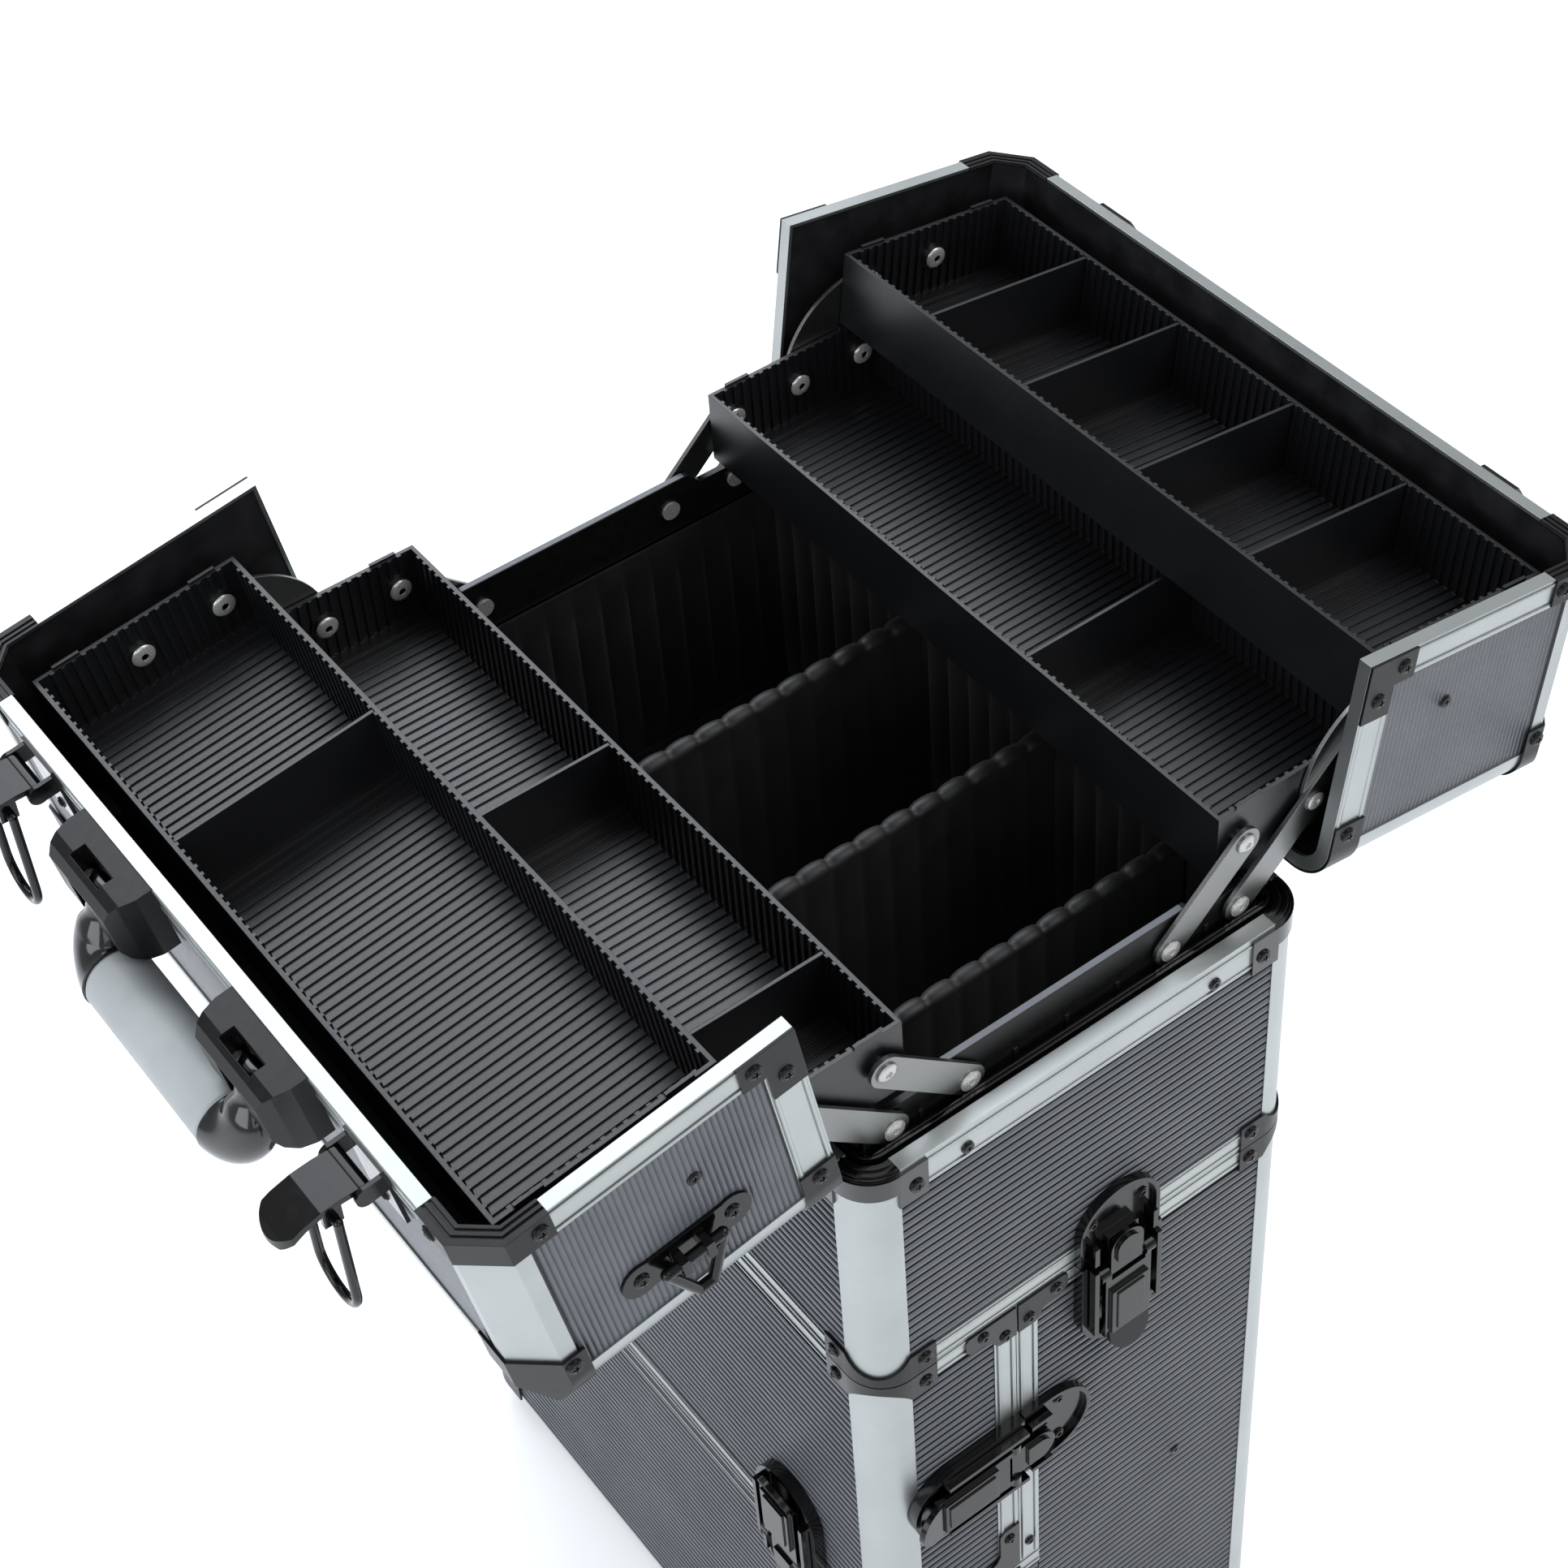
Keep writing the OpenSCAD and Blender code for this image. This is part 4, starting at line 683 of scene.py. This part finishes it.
bracketScrew = 24.5                            # from a face to the screw of the bracket round its corner
screwX, screwY = case["halfL"] - bracketScrew, case["halfW"] - bracketScrew
outX, outY = case["halfL"] + case["corner"], case["halfW"] + case["corner"]
screwZ = 8                                     # from a joint to the screws of its brackets


def cornerHeads(z, sides=(-1, 1)):
    made = []
    for side in sides:
        made.append(((outX, side * screwY, z), (1, 0, 0), 1))
        made.append(((screwX, side * outY, z), (0, side, 0), 1))
    return bothEnds(made)


medium, small = fastener["medium"], fastener["small"]
caseHeads = cornerHeads(joint + screwZ) + cornerHeads(joint - screwZ, [1])
caseHeads += cornerHeads(doorFoot - screwZ, [-1]) + cornerHeads(-case["rimDepth"] + 5)
caseHeads += [head for head in cornerHeads(case["bottom"] + screwZ) if head[0][0] > 0]
caseHeads += bothEnds([((x, y, z), (1, 0, 0), size) for x, y, z, size in (
    (outX, split + 6, joint - 13.5, medium), (outX, split + 20, joint - 6, medium),
    (case["halfL"], split + 5.5, doorFoot + 12, small), (case["halfL"], split - 2, doorFoot - 5.4, small),
    (case["halfL"] - 1, 52, doorFoot - 3, medium),
    (case["halfL"], 61, -12, medium), (case["halfL"], -61, -12, medium))])
setHeads(screwHead, "bodyScrews", caseHeads, "case", "enamel")

doorHeads = cornerHeads(joint - screwZ, [-1]) + cornerHeads(doorFoot + screwZ, [-1])
doorHeads += bothEnds([((outX, split - doorGap - u, z), (1, 0, 0), medium)
                       for u, z in ((6, joint - 15), (17, joint - 6), (5.5, doorFoot + 26))])
setHeads(screwHead, "doorScrews", doorHeads, "door", "enamel")

toggle = {"x": 118, "plate": 1.5, "screwY": 30, "keeperY": 11, "keeperHalf": 17}  # lid toggles and keepers
strap = {"y": 69, "lift": 0.5, "screwsZ": (42.5, 81.5)}                           # strap plates
lidHeads = bothEnds([((outX, y, z), (1, 0, 0), 1) for y, z in (
    (6.5, lid["top"] - 26), (19, screwZ), (7, 19), (screwY, screwZ), (screwY, lid["top"] - 17))])
lidHeads += bothEnds([
    ((case["halfL"] - 1, 39, 51), (1, 0, 0), medium), ((screwX, outY, screwZ), (0, 1, 0), 1),
    ((case["halfL"] - 25, 7, lid["top"] + case["corner"]), (0, 0, 1), 1)])
plateZ = lid["top"] + toggle["plate"]
leftHeads = lidHeads + bothEnds(
    [((toggle["x"], toggle["screwY"], plateZ), (0, 0, 1), small)]
    + [((case["halfL"] + strap["lift"], strap["y"], z), (1, 0, 0), 1) for z in strap["screwsZ"]])
rightHeads = lidHeads + bothEnds([
    ((toggle["x"] + u, toggle["keeperY"], plateZ), (0, 0, 1), small)
    for u in (-toggle["keeperHalf"], toggle["keeperHalf"])])
for sideName, side, points in (("left", -1, leftHeads), ("right", 1, rightHeads)):
    turn = lidPlace(side)
    moved = [(turn @ Vector(p), turn.to_3x3() @ Vector(d), size) for p, d, size in points]
    setHeads(screwHead, "lidScrews." + sideName, moved, "lid_" + sideName, "enamel")

pivots = {}
for row in frame["record"]["behaviour"]["joints"]:
    pivots[row["name"]] = Vector(row.get("pos_m", (0, 0, 0))) / mm
linkage = {
    "trayHead": 160.8,     # inner face of a tray's end, where the heads inside it sit
    "armHead": 169.5,      # outer face of the arms, where the outer heads sit
    "outside": 0.86,       # size of the outer heads, as a share of the inner ones
    "reach": 37.4,         # from the outer tray's pivot to the link arm's rivet in it
    "tilt": 7.6,           # how far the outer tray leans, in degrees
}
for sideName, side in (("left", -1), ("right", 1)):
    low, high = pivots["short_arms_%s_pivot" % sideName], pivots["long_arms_%s_pivot" % sideName]
    inner, outer = pivots["tray_inner_%s_pivot" % sideName], pivots["tray_outer_%s_pivot" % sideName]
    third = pivots["link_arms_%s_pivot" % sideName]
    second = inner + (high - low)
    tilt, reach, outside = math.radians(linkage["tilt"]), linkage["reach"], linkage["outside"]
    fourth = outer + Vector((0, side * reach * math.cos(tilt), -reach * math.sin(tilt)))
    armPins = {"short_arms_": [inner], "long_arms_": [second, outer], "link_arms_": [third, fourth]}
    for arms, pins in armPins.items():
        heads = bothEnds([((linkage["trayHead"], pin.y, pin.z), (-1, 0, 0), 1) for pin in pins])
        heads += bothEnds([((linkage["armHead"], pin.y, pin.z), (1, 0, 0), outside) for pin in pins])
        setHeads(rivetHead, arms + sideName + ".rivets", heads, arms + sideName, "rivet")
    caseRivets = bothEnds([
        ((linkage["armHead"], side * abs(pin.y), pin.z), (1, 0, 0), outside) for pin in (low, high)])
    setHeads(rivetHead, "caseRivets." + sideName, caseRivets, "case", "rivet")
print("screws and rivets made")


# the well: quilted pads on the walls, and thick dividers with rolled tops

well = {
    "halfX": 162.4,        # inside of the end walls
    "halfY": 104.6,        # inside of the long walls
    "floor": joint + 4,
    "top": -8.5,
    "pad": 3.4,            # thickness of a wall pad at the middle of a channel
    "seam": 1.5,           # and at its seams
    "pitch": 14,           # spacing of the sewn channels
    "steps": 8,            # points across a channel
    "rows": 10,            # points up a channel, and round a divider's top
    "plump": 0.55,         # lower is a fuller channel with tighter seams
    "endFull": 0.4,        # fullness of a divider at its sewn ends
    "dividerX": [-56.1, 35.0, 116.2],
    "dividerHalf": 4.6,    # half thickness of a divider
    "dividerTop": -16,     # middle of its rolled top
}


def puff(share):
    # how full a channel is, from 0 at its seams to 1 in the middle
    return math.sin(math.pi * share) ** well["plump"] if 0 < share < 1 else 0.0


def meshFrom(name, vertices, faces):
    mesh = bpy.data.meshes.new(name)
    mesh.from_pydata(vertices, [], faces)
    bm = bmesh.new()
    bm.from_mesh(mesh)
    bmesh.ops.recalc_face_normals(bm, faces=bm.faces)
    bm.to_mesh(mesh)
    bm.free()
    return mesh


def quiltedPad(width, height):
    # a closed pad lying on its back: X along, Y up its channels, Z the fullness
    count = max(1, round(width / well["pitch"]))
    across, rows = count * well["steps"], well["rows"]
    vertices, faces = [], []
    for row in range(rows + 1):
        v = row / rows
        rim = 1 - abs(2 * v - 1) ** 8          # flat against the wall only at its top and bottom
        for column in range(across + 1):
            full = puff(column % well["steps"] / well["steps"])
            depth = well["seam"] + (well["pad"] - well["seam"]) * full * rim
            vertices.append((width * column / across, height * v, depth))
    top = len(vertices)
    vertices += [(x, y, 0) for x, y, z in vertices]
    wide = across + 1
    for row in range(rows):
        for column in range(across):
            a = row * wide + column
            faces.append((a, a + 1, a + wide + 1, a + wide))
            faces.append((top + a, top + a + wide, top + a + wide + 1, top + a + 1))
    for column in range(across):
        for a in (column, rows * wide + column):
            faces.append((a, a + 1, top + a + 1, top + a))
    for row in range(rows):
        for a in (row * wide, row * wide + across):
            faces.append((a, a + wide, top + a + wide, top + a))
    return meshFrom("quiltedPad", vertices, faces)


def quiltedDivider(length, foot):
    # runs along Y from 0; a section in XZ with a rolled top, pinched at every seam
    count = round(length / well["pitch"])
    along, arc = count * well["steps"], well["rows"]
    half, top = well["dividerHalf"], well["dividerTop"]
    vertices, faces = [], []
    for k in range(along + 1):
        full = puff(k % well["steps"] / well["steps"])
        if k in (0, along):
            full = well["endFull"]
        t = half * (0.8 + 0.2 * full)
        crest = top - (half - t) * 0.9
        section = [(-t, foot)] + [(-t, foot + (crest - foot) * share) for share in (0.33, 0.66)]
        for step in range(arc + 1):
            turn = math.pi * step / arc
            section.append((-t * math.cos(turn), crest + t * math.sin(turn)))
        section += [(t, foot + (crest - foot) * share) for share in (0.66, 0.33)] + [(t, foot)]
        vertices += [(x, length * k / along, z) for x, z in section]
    wide = len(section)
    for k in range(along):
        for i in range(wide):
            a, b = k * wide + i, k * wide + (i + 1) % wide
            faces.append((a, b, b + wide, a + wide))
    faces.append(tuple(range(wide)))
    faces.append(tuple(along * wide + i for i in range(wide)))
    return meshFrom("quiltedDivider", vertices, faces)


tall = well["top"] - well["floor"]
longPad, endPad = quiltedPad(2 * well["halfX"], tall), quiltedPad(2 * well["halfY"], tall)
floorPad = quiltedPad(2 * well["halfX"] - 2, 2 * well["halfY"] - 2)
linerParts = [
    (longPad, facing((well["halfX"], well["halfY"], well["floor"]), (-1, 0, 0), (0, 0, 1))),
    (longPad, facing((-well["halfX"], -well["halfY"], well["floor"]), (1, 0, 0), (0, 0, 1))),
    (endPad, facing((well["halfX"], -well["halfY"], well["floor"]), (0, 1, 0), (0, 0, 1))),
    (endPad, facing((-well["halfX"], well["halfY"], well["floor"]), (0, -1, 0), (0, 0, 1))),
]
inward = Matrix.Diagonal((1, 1, -1, 1))
linerParts = [(mesh, matrix @ inward) for mesh, matrix in linerParts]
linerParts.append((floorPad, Matrix.Translation((-well["halfX"] + 1, -well["halfY"] + 1, well["floor"] - 0.2))))
wellPads = joinPieces("wellPads", linerParts, "case", finish["liner"], 60)
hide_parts("well_liner")

inner = well["halfY"] - well["pad"]
divider = quiltedDivider(2 * inner, well["floor"] + well["seam"])
dividerParts = [(divider, Matrix.Translation((x, -inner, 0))) for x in well["dividerX"]]
wellDividers = joinPieces("wellDividers", dividerParts, "case", finish["liner"], 60)
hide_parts("well_dividers")
print("padded well made")


# carry handle: a polished shell, one piece from each pivot round into the grip

shell = {
    "grip": 43,            # where the grip ends
    "arm": 55,             # middle of the arm where it meets the pivot
    "radius": 14.0,        # of the shell at the grip
    "elbow": (11.2, 9.4),  # half width and half thickness where the elbow ends
    "neck": (6.7, 6.1),    # and of the neck inside the bracket
    "drop": 32,            # pivot to the middle of the grip
    "eye": 6.3,            # how far the shell reaches past the pivot
    "clear": 0.3,          # between the shell and the grip
    "taper": 0.42,         # share of the arm over which it narrows to the neck
    "sides": 32,
    "bendSteps": 12,
    "armSteps": 10,
}


def shellSections(pivot, grip):
    # rings from the grip round the elbow and up to the pivot: centre, radial way, half sizes
    rise = (pivot - grip).normalized()
    across = Vector((1, 0, 0)).cross(rise)
    corner = grip + rise * (shell["radius"] + shell["clear"]) + Vector((shell["grip"], 0, 0))
    made = [(grip + Vector((shell["grip"] - 0.4, 0, 0)), -rise, shell["radius"] - 0.7, shell["radius"] - 0.7)]
    for step in range(shell["bendSteps"] + 1):
        turn = math.radians(90) * step / shell["bendSteps"]
        ease = step / shell["bendSteps"]
        wide = shell["radius"] + (shell["elbow"][0] - shell["radius"]) * ease
        thick = shell["radius"] + (shell["elbow"][1] - shell["radius"]) * ease
        radial = -rise * math.cos(turn) + Vector((1, 0, 0)) * math.sin(turn)
        made.append((corner + radial * (wide + shell["clear"] + 0.6 * ease), radial, wide, thick))
    start, base = made[-1][0], made[-1][0].x
    length = shell["drop"] - shell["radius"] - shell["clear"] + shell["eye"]
    for step in range(1, shell["armSteps"] + 1):
        share = step / shell["armSteps"]
        ease = min(1.0, share / shell["taper"])
        ease = ease * ease * (3 - 2 * ease)
        wide = shell["elbow"][0] + (shell["neck"][0] - shell["elbow"][0]) * ease
        thick = shell["elbow"][1] + (shell["neck"][1] - shell["elbow"][1]) * ease
        tip = max(0.0, (length * share - (length - shell["eye"])) / shell["eye"])
        thick *= math.sqrt(max(0.02, 1 - tip * tip))
        place = start + rise * length * share
        place.x = base + (shell["arm"] - base) * ease
        made.append((place, Vector((1, 0, 0)), wide, thick))
    return made, across


def shellMesh(pivot, grip):
    rings, across = shellSections(pivot, grip)
    sides = shell["sides"]
    vertices, faces = [], []
    for place, radial, wide, thick in rings:
        for i in range(sides):
            turn = 2 * math.pi * i / sides
            vertices.append(place + radial * wide * math.cos(turn) + across * thick * math.sin(turn))
    for ring in range(len(rings) - 1):
        for i in range(sides):
            a, b = ring * sides + i, ring * sides + (i + 1) % sides
            faces.append((a, b, b + sides, a + sides))
    faces.append(tuple(range(sides)))
    faces.append(tuple((len(rings) - 1) * sides + i for i in range(sides)))
    return meshFrom("handleShell", [tuple(v) for v in vertices], faces)


hang = pivots["handle_hinge"]
gripLow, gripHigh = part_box("handle_grip")
gripMiddle = (gripLow + gripHigh) / 2 / mm
gripMiddle.x = 0
shellHalf = shellMesh(Vector((0, hang.y, hang.z)), gripMiddle)
handleShell = joinPieces("handleShell", [(shellHalf, Matrix()), (shellHalf, Matrix.Diagonal((-1, 1, 1, 1)))],
                         "handle", finish["shell"], 50)
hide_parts("handle_ends")
print("handle shell made")


# painted highlight: a grey strip along the top of the end plates, standing in for the light their top edge
# catches

plateEdge = {"x": 163.2, "width": 2.8, "z": 19.3, "half": 58, "rise": 0.35, "sunk": 0.2}


def paintedHighlightStrip(sign):
    x0, x1 = plateEdge["x"], plateEdge["x"] + plateEdge["width"]
    corners = [(sign * x, y, plateEdge["z"] + z) for x in (x0, x1)
               for y in (-plateEdge["half"], plateEdge["half"])
               for z in (-plateEdge["sunk"], plateEdge["rise"])]
    sheet = [(0, 1, 3, 2), (4, 6, 7, 5), (0, 4, 5, 1), (2, 3, 7, 6), (0, 2, 6, 4), (1, 5, 7, 3)]
    return meshFrom("paintedHighlightStrip", corners, sheet)


# the grey of this strip is a painted highlight on the black plates' lit top edge
joinPieces("plateEdgeHighlights", [(paintedHighlightStrip(1), Matrix()), (paintedHighlightStrip(-1), Matrix())], "case",
           finish["laminate"])
print("end plate highlight made")


# camera, light and floor

view = {
    "place": (748.55, -495.59, 928.68),   # camera position, mm
    "azimuth": 54.0,
    "elevation": 43.4,
    "roll": 2.8,
    "lens": 72.75,
    "sensor": 36,
    "shift": (-0.0684, -0.1015),
    "clipEnd": 50,
}


def placeCamera():
    azimuth, elevation, roll = (math.radians(view[k]) for k in ("azimuth", "elevation", "roll"))
    back = Vector((math.sin(azimuth) * math.cos(elevation), -math.cos(azimuth) * math.cos(elevation),
                   math.sin(elevation)))
    right = (-back).cross(Vector((0, 0, 1))).normalized()
    down = (-back).cross(right)
    turnedRight = math.cos(roll) * right + math.sin(roll) * down
    turnedDown = -math.sin(roll) * right + math.cos(roll) * down
    data = bpy.data.cameras.new("camera")
    data.lens = view["lens"]
    data.sensor_width = view["sensor"]
    data.shift_x, data.shift_y = view["shift"]
    data.clip_end = view["clipEnd"]
    camera = bpy.data.objects.new("camera", data)
    axes = Matrix((turnedRight, -turnedDown, back)).transposed().to_4x4()
    camera.matrix_world = Matrix.Translation(Vector(view["place"]) * mm) @ axes
    bpy.context.scene.collection.objects.link(camera)
    bpy.context.scene.camera = camera


studioLight = {
    "floorHalf": 4.0,      # metres
    "floorGlow": 0.35,     # lifts the floor to white where it is seen
    "white": "#fbfdff",    # of the backdrop and the glow
    "ambient": 0.45,       # strength of the world on the object
    "seen": 1.0,           # where the camera or glass sees it
    "mirrored": 0.5,       # and where metal mirrors it
}

# name: place, aim and size in metres, power in watts, tint
softboxes = {
    "keySoftbox": ((1.2, 1.4, 2.4), (0, 0, -0.2), (1.8, 1.8), 30, "#ffffff"),
    "fillSoftbox": ((0.5, -2.5, 0.9), (0, 0, -0.2), (2.2, 1.6), 34, "#f4f8ff"),
    "endSoftbox": ((2.2, -0.9, 1.0), (0, 0, -0.2), (1.4, 1.4), 8, "#ffffff"),
    "backSoftbox": ((-1.55, 0.35, 1.75), (0, -0.1, 0), (2.0, 1.9), 42, "#f2f7ff"),
}


def areaLight(name, place, aim, size, power, tint):
    data = bpy.data.lights.new(name, "AREA")
    data.color = toLinear(tint)[:3]
    data.shape = "RECTANGLE"
    data.size, data.size_y = size
    data.energy = power
    light = bpy.data.objects.new(name, data)
    light.location = place
    light.rotation_euler = (Vector(aim) - Vector(place)).to_track_quat("-Z", "Y").to_euler()
    bpy.context.scene.collection.objects.link(light)


def seenRays(tree, path):
    # 1 for rays that come from the camera, a mirror or glass, else 0
    seen = addNode(tree, "ShaderNodeMath", {"operation": "ADD"}, {
        0: path["Is Camera Ray"], 1: path["Is Glossy Ray"]})
    seen = addNode(tree, "ShaderNodeMath", {"operation": "ADD", "use_clamp": True}, {
        0: seen.outputs[0], 1: path["Is Transmission Ray"]})
    return seen.outputs[0]


def whiteSweep():
    # painted white floor; seen by the camera and in reflections it goes up to white, and keeps its shadow
    material, tree, shader, place = newMaterial("whiteSweep")
    speck = grain(tree, place, 60)
    tree.links.new(ramp(tree, speck, [(0.3, "#f1f3f5"), (0.7, "#f5f7f9")]), shader.inputs["Base Color"])
    shader.inputs["Roughness"].default_value = 0.9
    seen = seenRays(tree, addNode(tree, "ShaderNodeLightPath").outputs)
    glow = addNode(tree, "ShaderNodeEmission", {}, {"Color": toLinear(studioLight["white"])})
    amount = addNode(tree, "ShaderNodeMath", {"operation": "MULTIPLY"}, {0: seen, 1: studioLight["floorGlow"]})
    tree.links.new(amount.outputs[0], glow.inputs["Strength"])
    both = addNode(tree, "ShaderNodeAddShader", {}, {0: shader.outputs[0], 1: glow.outputs[0]})
    tree.links.new(both.outputs[0], tree.nodes["Material Output"].inputs["Surface"])
    return material


def studio():
    floorZ, half = cadBox[0].z, studioLight["floorHalf"]
    corners = [(-half, -half, floorZ), (half, -half, floorZ), (half, half, floorZ), (-half, half, floorZ)]
    mesh = bpy.data.meshes.new("floor")
    mesh.from_pydata(corners, [], [(0, 1, 2, 3)])
    mesh.materials.append(whiteSweep())
    floor = bpy.data.objects.new("floor", mesh)
    bpy.context.scene.collection.objects.link(floor)

    world = bpy.data.worlds.new("studio")
    bpy.context.scene.world = world
    world.use_nodes = True
    tree = world.node_tree
    path = addNode(tree, "ShaderNodeLightPath").outputs
    level = addNode(tree, "ShaderNodeMapRange", {}, {
        "Value": seenRays(tree, path), "To Min": studioLight["ambient"], "To Max": studioLight["seen"]})
    dimmed = addNode(tree, "ShaderNodeMath", {"operation": "MULTIPLY"}, {
        0: path["Is Glossy Ray"], 1: studioLight["seen"] - studioLight["mirrored"]})
    strength = addNode(tree, "ShaderNodeMath", {"operation": "SUBTRACT"}, {
        0: level.outputs[0], 1: dimmed.outputs[0]})
    background = tree.nodes["Background"]
    background.inputs["Color"].default_value = toLinear(studioLight["white"])
    tree.links.new(strength.outputs[0], background.inputs["Strength"])

    for name, settings in softboxes.items():
        areaLight(name, *settings)


placeCamera()
studio()
bpy.context.scene.view_settings.view_transform = "Standard"
print("camera, lights and floor placed")
